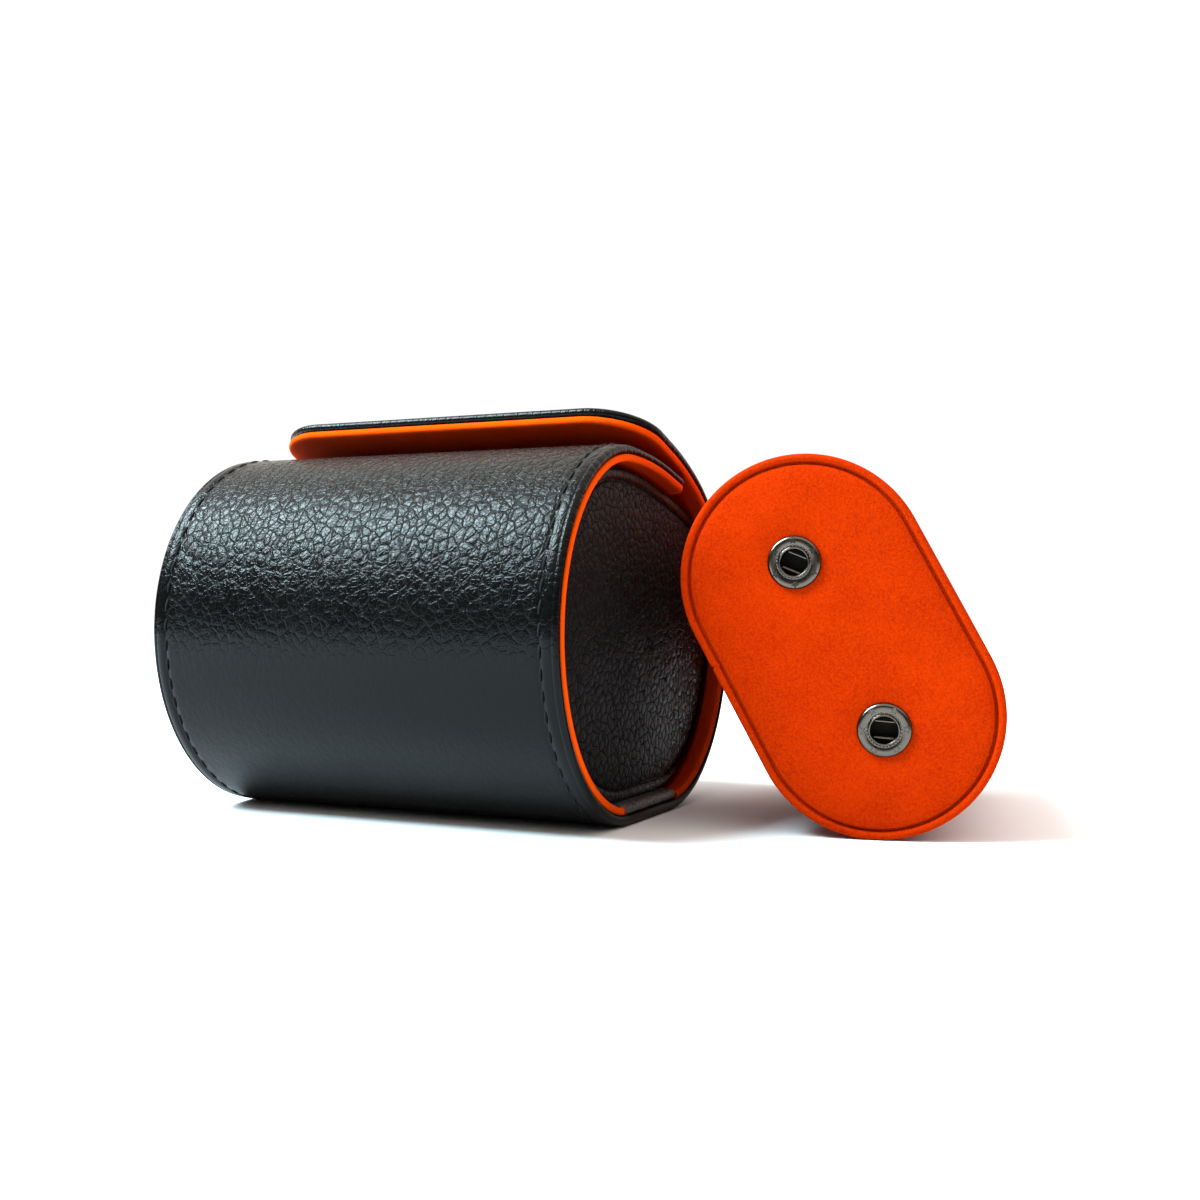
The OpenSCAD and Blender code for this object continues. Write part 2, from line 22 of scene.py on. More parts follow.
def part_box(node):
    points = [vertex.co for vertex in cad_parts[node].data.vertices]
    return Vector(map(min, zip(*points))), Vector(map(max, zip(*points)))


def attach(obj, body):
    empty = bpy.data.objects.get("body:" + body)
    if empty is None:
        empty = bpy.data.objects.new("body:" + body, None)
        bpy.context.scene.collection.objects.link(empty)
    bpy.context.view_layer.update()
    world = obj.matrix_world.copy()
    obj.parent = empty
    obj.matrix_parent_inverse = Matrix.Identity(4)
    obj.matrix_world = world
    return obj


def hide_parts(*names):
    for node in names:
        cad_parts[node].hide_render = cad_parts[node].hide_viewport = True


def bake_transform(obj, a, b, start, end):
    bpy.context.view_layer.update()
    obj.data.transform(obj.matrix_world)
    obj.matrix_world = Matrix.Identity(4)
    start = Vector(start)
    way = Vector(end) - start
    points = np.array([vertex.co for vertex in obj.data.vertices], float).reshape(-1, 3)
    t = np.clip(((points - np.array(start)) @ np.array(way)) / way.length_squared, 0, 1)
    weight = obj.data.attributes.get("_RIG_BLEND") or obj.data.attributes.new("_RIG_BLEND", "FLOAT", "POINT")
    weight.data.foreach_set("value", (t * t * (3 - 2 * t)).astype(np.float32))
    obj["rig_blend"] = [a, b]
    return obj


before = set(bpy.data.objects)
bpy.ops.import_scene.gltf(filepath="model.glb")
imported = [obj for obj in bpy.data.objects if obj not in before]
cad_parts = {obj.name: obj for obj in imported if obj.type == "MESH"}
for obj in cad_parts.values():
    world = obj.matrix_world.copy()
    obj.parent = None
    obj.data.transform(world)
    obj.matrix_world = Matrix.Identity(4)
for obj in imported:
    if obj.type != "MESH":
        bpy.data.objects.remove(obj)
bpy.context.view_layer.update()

MM = 0.001
MERGE_MM = 0.004
FLAT_MAP = "Flat"
GRAIN_MAP = "Grain"
EDGE_HIGHLIGHT_MAP = "Edge"
POLISH_MAP = "Polish"
QUARTER_TURN = [math.radians(a) for a in range(0, 91, 15)]
log = logging.getLogger("watch_roll")

Array = np.ndarray
Piece = bpy.types.Object
NodeInputs = dict[str | int, object]
SheetValues = Callable[[Array, Array], Array]


class Coords(Enum):
    """Coordinates that a finish's pattern follows."""

    FLAT = "the piece's own flat map, in metres"
    OBJECT = "the row frame"


class Plane(Enum):
    """Plane in which a sheet is bent; the sheet runs straight along the third axis."""

    ALONG_X = 0
    ALONG_Y = 1


class Side(Enum):
    """End of the roll."""

    RIGHT = 1
    LEFT = -1


def linear(colour: str) -> tuple[float, float, float, float]:
    """Turns an sRGB hex value to the linear colour that a shader takes.

    Args:
        colour: Six hex digits after a number sign.

    Returns:
        Red, green, blue and an alpha of 1.
    """
    parts = [int(colour[i : i + 2], 16) / 255 for i in (1, 3, 5)]
    rgb = [p / 12.92 if p <= 0.04045 else ((p + 0.055) / 1.055) ** 2.4 for p in parts]
    return (rgb[0], rgb[1], rgb[2], 1.0)


def add_node(
    tree: bpy.types.NodeTree, kind: str, inputs: NodeInputs, **settings: object
) -> bpy.types.Node:
    """Adds a node, sets its properties, and fills or links its inputs.

    Args:
        tree: Node tree that takes the node.
        kind: Blender's name of the node, without the words that all of them start with.
        inputs: For each input its value, the socket to link from, or the node whose first
            output is linked.
        **settings: Properties of the node.

    Returns:
        The new node.
    """
    node = tree.nodes.new("ShaderNode" + kind)
    for name, value in settings.items():
        setattr(node, name, value)
    for name, value in inputs.items():
        if isinstance(value, bpy.types.Node):
            value = value.outputs[0]
        if isinstance(value, bpy.types.NodeSocket):
            tree.links.new(value, node.inputs[name])
        else:
            node.inputs[name].default_value = value
    return node


def pattern_coords(
    tree: bpy.types.NodeTree, coords: Coords, size_mm: float
) -> bpy.types.Node:
    """Gives pattern coordinates in which one unit is a real size.

    Args:
        tree: Node tree of the material.
        coords: What the pattern follows.
        size_mm: Real size of one unit.

    Returns:
        The node that gives the vector for textures.
    """
    if coords is Coords.FLAT:
        source = add_node(tree, "UVMap", {}, uv_map=FLAT_MAP)
    else:
        source = add_node(tree, "TexCoord", {}).outputs["Object"]
    scale = (1 / (size_mm * MM),) * 3
    return add_node(tree, "Mapping", {"Vector": source, "Scale": scale})


@dataclass(frozen=True)
class Finish:
    """A real material, drawn by nodes that feed one shader."""

    name: str

    def material(self) -> bpy.types.Material:
        """Builds the finish.

        Returns:
            The material.
        """
        material = bpy.data.materials.new(self.name)
        material.use_nodes = True
        tree = material.node_tree
        tree.nodes.clear()
        shader = add_node(tree, "BsdfPrincipled", self.inputs(tree))
        add_node(tree, "OutputMaterial", {"Surface": shader})
        return material

    def inputs(self, tree: bpy.types.NodeTree) -> NodeInputs:
        """Adds the nodes of the finish's own pattern.

        Args:
            tree: Node tree of the material.

        Returns:
            What the shader takes on its inputs.
        """
        raise NotImplementedError


@dataclass(frozen=True)
class PebbledLeather(Finish):
    """Full-grain calf leather, embossed with a pebble grain and finished black: flat-topped
    cells a little under two millimetres wide, parted by creases that are duller, with painted shade
    darkening them.
    The grain fades where the piece's share of it is low, and the satin finish gets duller
    where the share of polish is low."""

    colour: str = "#060606"
    crease_shade_colour: str = "#020202"
    cell_mm: float = 1.85
    drift: float = 0.9
    stretch: float = 0.72
    turn_deg: float = 28.0
    relief_mm: float = 0.075
    roughness: float = 0.165
    dull_roughness: float = 0.3
    crease_roughness: float = 0.45
    crease_fade: float = 1.6
    gloss: float = 0.09

    def inputs(self, tree: bpy.types.NodeTree) -> NodeInputs:
        """Draws the cells and creases, the wrinkles and pores on them, and the wear."""
        add = partial(add_node, tree)
        base = pattern_coords(tree, Coords.FLAT, self.cell_mm)
        wander = add("TexNoise", {"Vector": base, "Scale": 0.55, "Detail": 2.0})
        shift = add(
            "VectorMath", {0: wander.outputs["Color"], 1: (self.drift,) * 3, 2: base},
            operation="MULTIPLY_ADD",
        )
        drawn = add(
            "Mapping",
            {
                "Vector": shift,
                "Rotation": (0.0, 0.0, math.radians(self.turn_deg)),
                "Scale": (self.stretch, 1.0, 1.0),
            },
        )
        cells = add(
            "TexVoronoi", {"Vector": drawn, "Scale": 1.0, "Randomness": 0.92},
            feature="DISTANCE_TO_EDGE",
        )
        plateau = add(
            "MapRange", {"Value": cells, "From Min": 0.0, "From Max": 0.1},
            interpolation_type="SMOOTHSTEP",
        )
        dome = add(
            "MapRange", {"Value": cells, "From Min": 0.0, "From Max": 0.55, "To Max": 1.8},
        )
        small = add(
            "TexVoronoi", {"Vector": shift, "Scale": 2.1, "Randomness": 1.0},
            feature="DISTANCE_TO_EDGE",
        )
        wrinkles = add(
            "MapRange", {"Value": small, "From Max": 0.14, "To Max": 0.5},
            interpolation_type="SMOOTHSTEP",
        )
        pores = add("TexNoise", {"Vector": base, "Scale": 6.0, "Detail": 3.0})
        height = dome
        for part, weight in ((plateau, 0.75), (wrinkles, 1.0), (pores, 0.3)):
            height = add("Math", {0: part, 1: weight, 2: height}, operation="MULTIPLY_ADD")
        grain = add("Attribute", {}, attribute_name=GRAIN_MAP).outputs["Fac"]
        raised = add("Math", {0: height, 1: grain}, operation="MULTIPLY")
        relief = add(
            "Bump", {"Height": raised, "Distance": self.relief_mm * MM, "Strength": 1.0},
        )
        # Painted shade: a thin mask along the creases darkens their colour towards the crease colour, less
        # where the grain fades; the same mask also dulls them.
        thin = add(
            "MapRange", {"Value": cells, "From Max": 0.08, "To Min": 1.0, "To Max": 0.0},
            interpolation_type="SMOOTHSTEP",
        )
        full = add("Math", {0: grain, 1: self.crease_fade}, operation="POWER")
        crease = add("Math", {0: thin, 1: full}, operation="MULTIPLY")
        colour = add(
            "Mix",
            {"Factor": crease, 6: linear(self.colour), 7: linear(self.crease_shade_colour)},
            data_type="RGBA",
        )
        worn = add("TexNoise", {"Vector": base, "Scale": 0.09, "Detail": 3.0})
        satin = add(
            "MapRange",
            {
                "Value": worn, "From Min": 0.3, "From Max": 0.7,
                "To Min": self.roughness - 0.04, "To Max": self.roughness + 0.06,
            },
        )
        polish = add("Attribute", {}, attribute_name=POLISH_MAP).outputs["Fac"]
        dull = add(
            "MapRange", {"Value": polish, "To Min": self.dull_roughness, "To Max": 0.0}
        )
        uneven = add("Math", {0: satin, 1: dull}, operation="ADD")
        rough = add(
            "Math", {0: crease, 1: self.crease_roughness, 2: uneven},
            operation="MULTIPLY_ADD", use_clamp=True,
        )
        return {
            "Base Color": colour.outputs[2], "Roughness": rough, "Normal": relief,
            "Specular IOR Level": self.gloss,
        }


@dataclass(frozen=True)
class Suede(Finish):
    """Split suede, dyed orange: a matt, even nap whose fibres are drawn twice as coarse as
    the real fifth of a millimetre, to show. Soft patches, where the nap lies another way,
    are darker, and cut edges are paler: partly a fuzz that stands up there, partly a painted highlight where
    they catch the light."""

    coords: Coords
    colour: str = "#af2a00"
    brushed_colour: str = "#8b1a00"
    edge_highlight_colour: str = "#d84404"
    sheen_colour: str = "#ff7a2e"
    fibre_mm: float = 0.42
    relief_mm: float = 0.22
    patch_mm: float = 9.0
    patch_weight: float = 0.3

    def inputs(self, tree: bpy.types.NodeTree) -> NodeInputs:
        """Draws the fibres, the patches of their lie and the fuzz of the edges."""
        add = partial(add_node, tree)
        base = pattern_coords(tree, self.coords, self.patch_mm)
        patches = add(
            "TexNoise", {"Vector": base, "Scale": 1.0, "Detail": 3.0, "Roughness": 0.6},
        )
        fine = pattern_coords(tree, self.coords, self.fibre_mm)
        fibres = add(
            "TexNoise", {"Vector": fine, "Scale": 1.0, "Detail": 3.0, "Roughness": 0.7},
        )
        lie = add(
            "Math", {0: patches, 1: self.patch_weight, 2: fibres},
            operation="MULTIPLY_ADD",
        )
        share = add("MapRange", {"Value": lie, "From Min": 0.42, "From Max": 0.8})
        nap = add(
            "Mix",
            {"Factor": share, 6: linear(self.brushed_colour), 7: linear(self.colour)},
            data_type="RGBA",
        )
        # Painted highlight: cut edges are mixed towards a paler orange, partly the fuzz standing up there
        # and partly light caught on them.
        fuzz = add("Attribute", {}, attribute_name=EDGE_HIGHLIGHT_MAP).outputs["Fac"]
        colour = add(
            "Mix", {"Factor": fuzz, 6: nap.outputs[2], 7: linear(self.edge_highlight_colour)},
            data_type="RGBA",
        )
        relief = add(
            "Bump", {"Height": fibres, "Distance": self.relief_mm * MM, "Strength": 0.55},
        )
        return {
            "Base Color": colour.outputs[2], "Roughness": 0.95, "Normal": relief,
            "Specular IOR Level": 0.02, "Sheen Weight": 0.04, "Sheen Roughness": 0.4,
            "Sheen Tint": linear(self.sheen_colour),
        }


@dataclass(frozen=True)
class PolishedMetal(Finish):
    """Brass plated in gunmetal, bare steel, or brass coloured near black as painted shade, tumbled smooth: a
    dark mirror with faint hairlines that break its edges up, drawn ten times as wide as real ones."""

    colour: str
    roughness: float
    hairline_mm: float = 0.5
    relief_mm: float = 0.01

    def inputs(self, tree: bpy.types.NodeTree) -> NodeInputs:
        """Draws the hairlines, in the gloss and in the relief."""
        add = partial(add_node, tree)
        base = pattern_coords(tree, Coords.OBJECT, self.hairline_mm)
        hairs = add("TexNoise", {"Vector": base, "Scale": 1.0, "Detail": 4.0})
        gloss = add(
            "MapRange",
            {
                "Value": hairs, "To Min": self.roughness * 0.7,
                "To Max": self.roughness * 1.4,
            },
        )
        relief = add(
            "Bump", {"Height": hairs, "Distance": self.relief_mm * MM, "Strength": 0.4},
        )
        return {
            "Base Color": linear(self.colour), "Metallic": 1.0, "Roughness": gloss,
            "Normal": relief,
        }


@dataclass(frozen=True)
class Fibrous(Finish):
    """Waxed polyester thread, greyboard or open foam: a matt, uneven surface of fibres or
    cells, the fibres drawn several times as thick as real ones, to show."""

    light_colour: str
    dark_colour: str
    fibre_mm: float
    coords: Coords = Coords.OBJECT
    roughness: float = 0.85
    relief_mm: float = 0.1

    def inputs(self, tree: bpy.types.NodeTree) -> NodeInputs:
        """Draws the fibres, in the colour and in the relief."""
        add = partial(add_node, tree)
        base = pattern_coords(tree, self.coords, self.fibre_mm)
        fibres = add("TexNoise", {"Vector": base, "Scale": 1.0, "Detail": 4.0})
        colour = add(
            "Mix",
            {"Factor": fibres, 6: linear(self.dark_colour), 7: linear(self.light_colour)},
            data_type="RGBA",
        )
        relief = add(
            "Bump", {"Height": fibres, "Distance": self.relief_mm * MM, "Strength": 0.5},
        )
        return {
            "Base Color": colour.outputs[2], "Roughness": self.roughness, "Normal": relief,
            "Specular IOR Level": 0.2,
        }


@dataclass(frozen=True)
class StudioFloor(Finish):
    """Seamless paper: a plain, matt white, a little cool under a warm sky."""

    colour: str = "#dfe1e5"
    roughness: float = 0.9

    def inputs(self, tree: bpy.types.NodeTree) -> NodeInputs:
        """Leaves the paper plain."""
        return {
            "Base Color": linear(self.colour), "Roughness": self.roughness,
            "Specular IOR Level": 0.2,
        }


@dataclass(frozen=True)
class Finishes:
    """Every finish of the roll, each built once."""

    wrap: bpy.types.Material
    panel: bpy.types.Material
    tab: bpy.types.Material
    lining: bpy.types.Material
    suede: bpy.types.Material
    gunmetal: bpy.types.Material
    hole_shade_metal: bpy.types.Material
    steel: bpy.types.Material
    thread: bpy.types.Material
    board: bpy.types.Material
    foam: bpy.types.Material

    @classmethod
    def build(cls) -> "Finishes":
        """Builds them all.

        Returns:
            The set of materials.
        """
        finishes = {
            "wrap": PebbledLeather("Black pebbled leather"),
            "panel": PebbledLeather(
                "Black pebbled panel leather", cell_mm=1.9, relief_mm=0.12, stretch=0.9,
                turn_deg=65.0, gloss=0.1, dull_roughness=0.4,
            ),
            # Painted highlight: the tab's black leather is coloured mid grey, as it shows when lit from the
            # floor.
            "tab": PebbledLeather(
                "Thin black tab leather", colour="#343332", cell_mm=1.1, relief_mm=0.04,
                roughness=0.34, gloss=0.6,
            ),
            # Painted shade: the lining's orange is set darker than the pillow's, for the lining seen in
            # shade under the flaps.
            "lining": Suede(
                "Orange lining suede", Coords.FLAT, colour="#9a2400",
                brushed_colour="#801800",
            ),
            "suede": Suede("Orange pillow suede", Coords.OBJECT),
            "gunmetal": PolishedMetal("Gunmetal plated brass", "#575049", 0.2),
            # Painted shade: near-black metal for the cup at the bottom of each socket's hole.
            "hole_shade_metal": PolishedMetal("Near-black brass, painted hole shade", "#171513", 0.5),
            "steel": PolishedMetal("Tumbled steel", "#b4b4b6", 0.28),
            "thread": Fibrous("Waxed black thread", "#0d0c0c", "#040404", 0.2, Coords.FLAT),
            "board": Fibrous("Greyboard", "#b9a888", "#8f8067", 0.6),
            "foam": Fibrous("Open-cell foam", "#e27a3c", "#b85a22", 0.4),
        }
        return cls(**{use: finish.material() for use, finish in finishes.items()})


def new_object(obj: Piece, name: str) -> Piece:
    """Names an object and its mesh alike."""
    obj.name = obj.data.name = name
    return obj


def select_only(*objects: Piece) -> None:
    """Selects these objects and nothing else, the first one active."""
    for other in bpy.context.selected_objects:
        other.select_set(False)
    for obj in objects:
        obj.select_set(True)
    bpy.context.view_layer.objects.active = objects[0] if objects else None


@contextlib.contextmanager
def edit_mode(obj: Piece) -> Iterator[bmesh.types.BMesh]:
    """Opens an object's mesh for operators, and closes it again.

    Args:
        obj: Object to edit.

    Yields:
        Its mesh in edit mode.
    """
    select_only(obj)
    bpy.ops.object.mode_set(mode="EDIT")
    try:
        yield bmesh.from_edit_mesh(obj.data)
    finally:
        bpy.ops.object.mode_set(mode="OBJECT")


def join(name: str, pieces: Sequence[Piece]) -> Piece:
    """Joins objects into one.

    Args:
        name: Name of the result.
        pieces: Objects to join.

    Returns:
        The joined object.
    """
    select_only(*pieces)
    if len(pieces) > 1:
        bpy.ops.object.join()
    return new_object(bpy.context.view_layer.objects.active, name)


def close_up(obj: Piece, smooth_deg: float = 40.0) -> Piece:
    """Merges doubles, turns all faces outwards and smooths the shading.

    Args:
        obj: Object to finish.
        smooth_deg: Faces that meet at less than this angle are shaded smooth.

    Returns:
        The same object.
    """
    with edit_mode(obj):
        bpy.ops.mesh.select_all(action="SELECT")
        bpy.ops.mesh.remove_doubles(threshold=MERGE_MM * MM)
        bpy.ops.mesh.normals_make_consistent(inside=False)
    select_only(obj)
    bpy.ops.object.shade_smooth_by_angle(angle=math.radians(smooth_deg))
    return obj


def dress(obj: Piece, material: bpy.types.Material) -> Piece:
    """Gives a piece one finish."""
    obj.data.materials.clear()
    obj.data.materials.append(material)
    return obj


def place_vertices(obj: Piece, points: Array) -> None:
    """Puts an object's vertices at points given in millimetres."""
    obj.data.vertices.foreach_set("co", (points * MM).astype(np.float32).ravel())
    obj.data.update()


def vertex_points(obj: Piece) -> Array:
    """Reads an object's vertices, in millimetres."""
    points = np.zeros(len(obj.data.vertices) * 3)
    obj.data.vertices.foreach_get("co", points)
    return points.reshape(-1, 3) / MM


def set_flat_map(obj: Piece, flat: Array) -> None:
    """Stores the flat coordinates of each vertex as the piece's own map.

    Args:
        obj: Piece to map.
        flat: Two numbers a vertex, in millimetres on the flat hide.
    """
    layers = obj.data.uv_layers
    layer = layers.get(FLAT_MAP) or layers.new(name=FLAT_MAP)
    corners = np.zeros(len(obj.data.loops), np.int64)
    obj.data.loops.foreach_get("vertex_index", corners)
    layer.data.foreach_set("uv", (flat[corners] * MM).astype(np.float32).ravel())


def set_share(obj: Piece, name: str, shares: Array) -> None:
    """Stores a share between 0 and 1 for each vertex, for the finish to use.

    Args:
        obj: Piece to mark.
        name: Name of the share.
        shares: One value a vertex.
    """
    layers = obj.data.attributes
    layer = layers.get(name) or layers.new(name, "FLOAT", "POINT")
    layer.data.foreach_set("value", shares.astype(np.float32))


def apply_modifier(obj: Piece, kind: str, **settings: object) -> None:
    """Adds a modifier with its settings and applies it."""
    modifier = obj.modifiers.new(kind.title(), kind)
    for name, value in settings.items():
        setattr(modifier, name, value)
    select_only(obj)
    bpy.ops.object.modifier_apply(modifier=modifier.name)


def loft(name: str, rings: Sequence[Array], pinched: bool = False) -> Piece:
    """Extrudes a filled circle ring by ring along a series of outlines.

    Args:
        name: Name of the piece.
        rings: Outlines with as many points each, in millimetres; both ends are closed.
        pinched: True if the last outline has shrunk to a line, whose two sides are merged.

    Returns:
        The closed piece.
    """
    select_only()
    bpy.ops.mesh.primitive_circle_add(vertices=len(rings[0]), radius=MM, fill_type="NGON")
    obj = new_object(bpy.context.object, name)
    with edit_mode(obj) as mesh:
        station = mesh.verts.layers.int.new("station")
        mesh.verts.ensure_lookup_table()
        for i, vertex in enumerate(mesh.verts):
            vertex[station] = i
            vertex.co = Vector(rings[0][i]) * MM
        bpy.ops.mesh.select_all(action="SELECT")
        for ring in rings[1:]:
            bpy.ops.mesh.extrude_region()
            mesh = bmesh.from_edit_mesh(obj.data)
            station = mesh.verts.layers.int["station"]
            for vertex in mesh.verts:
                if vertex.select:
                    vertex.co = Vector(ring[vertex[station]]) * MM
            bmesh.update_edit_mesh(obj.data)
        if pinched:
            bpy.ops.mesh.delete(type="ONLY_FACE")
    obj.data.attributes.remove(obj.data.attributes["station"])
    return close_up(obj)


def subtract(obj: Piece, tool: Piece) -> None:
    """Cuts a tool's shape out of a piece, and removes the tool."""
    apply_modifier(obj, "BOOLEAN", object=tool, operation="DIFFERENCE", solver="EXACT")
    bpy.data.objects.remove(tool)


def copy_of(model: Piece) -> Piece:
    """Copies a piece, with a mesh of its own."""
    copy = model.copy()
    copy.data = model.data.copy()
    bpy.context.collection.objects.link(copy)
    return copy


def cut_holes(
    obj: Piece, centres: Sequence[Vector], axis: Vector, radius: float,
    depth: float,
) -> None:
    """Bores round holes through a piece.

    Args:
        obj: Piece to bore.
        centres: Middle of each hole, in millimetres.
        axis: Direction of the holes.
        radius: Radius of each hole.
        depth: Length of the tool, half on each side of the middle.
    """
    tools = []
    for centre in centres:
        select_only()
        bpy.ops.mesh.primitive_cylinder_add(
            vertices=64, radius=radius * MM, depth=depth * MM, location=centre * MM,
            rotation=axis.to_track_quat("Z", "Y").to_euler(),
        )
        tools.append(bpy.context.object)
    subtract(obj, join("bores", tools))


def ramp(x: Array, start: float, run: float, low: float = 0.0) -> Array:
    """Rises evenly from 0 to 1.

    Args:
        x: Places.
        start: Place of the 0.
        run: Way from there to the 1, negative for a fall.
        low: Least value that is given.

    Returns:
        A share for each place, between the least value and 1.
    """
    return np.clip((x - start) / run, low, 1)


def bell(distance: Array, width: float) -> Array:
    """Soft swell: 1 at no distance, a third at its width, and nothing far away."""
    return np.exp(-((distance / width) ** 2))


def rolled(edge: Array, radius: float) -> Array:
    """Share of the way from a face to the middle of the sheet, as its edge rolls over.

    Args:
        edge: Distances to the cut edge.
        radius: Radius of the rolled edge.

    Returns:
        0 on the plain face, 1 at the cut edge.
    """
    return 1 - np.sqrt(1 - (1 - ramp(edge, 0, radius)) ** 2)


def edge_steps(radius: float, beyond: Sequence[float]) -> tuple[float, ...]:
    """Insets of the mesh lines over a rolled edge, and beyond it."""
    return (*(radius * (1 - math.cos(a)) for a in QUARTER_TURN), *beyond)


def rim_steps(radius: float, face: float) -> list[tuple[float, float]]:
    """Insets and depths round a rolled rim, from its side to its face."""
    return [
        (radius - radius * math.cos(a), face + radius - radius * math.sin(a))
        for a in QUARTER_TURN
    ]


def full_grain(s: Array, edge: Array) -> Array:
    """Gives a sheet its full grain all over."""
    return np.ones_like(s)


def turned(x: Array, y: Array, angle: float) -> tuple[Array, Array]:
    """Turns points in a plane by an angle in radians."""
    cos, sin = math.cos(angle), math.sin(angle)
    return x * cos - y * sin, x * sin + y * cos


def lengths_along(points: Array) -> Array:
    """Distance along a line up to each of its points."""
    steps = np.linalg.norm(np.diff(points, axis=0), axis=1)
    return np.concatenate([[0.0], np.cumsum(steps)])


def values_at(at: Array, along: Array, values: Array) -> Array:
    """Values between those of a line's points.

    Args:
        at: Distances along the line.
        along: Distance of each point of the line.
        values: Two values for each point.

    Returns:
        Two values for each distance.
    """
    return np.stack([np.interp(at, along, values[:, k]) for k in (0, 1)], axis=-1)


class BentLine:
    """Line along which a sheet is bent, in the plane across its straight axis."""

    def __init__(self, points: Array, outward: int) -> None:
        """Measures the line.

        Args:
            points: Points of the line, in millimetres.
            outward: 1 where the outside lies to the right of the way along it, else -1.
        """
        self.points = points
        self.along = lengths_along(points)
        heading = np.gradient(points, self.along, axis=0)
        heading /= np.linalg.norm(heading, axis=1)[:, None]
        self.normals = outward * np.stack([heading[:, 1], -heading[:, 0]], axis=1)

    @property
    def length(self) -> float:
        """Length of the line."""
        return float(self.along[-1])

    def at(self, s: Array) -> tuple[Array, Array]:
        """Finds places on the line.

        Args:
            s: Distances along the line.

        Returns:
            The points, and the outward normals there.
        """
        normals = values_at(s, self.along, self.normals)
        normals /= np.linalg.norm(normals, axis=-1)[..., None]
        return values_at(s, self.along, self.points), normals


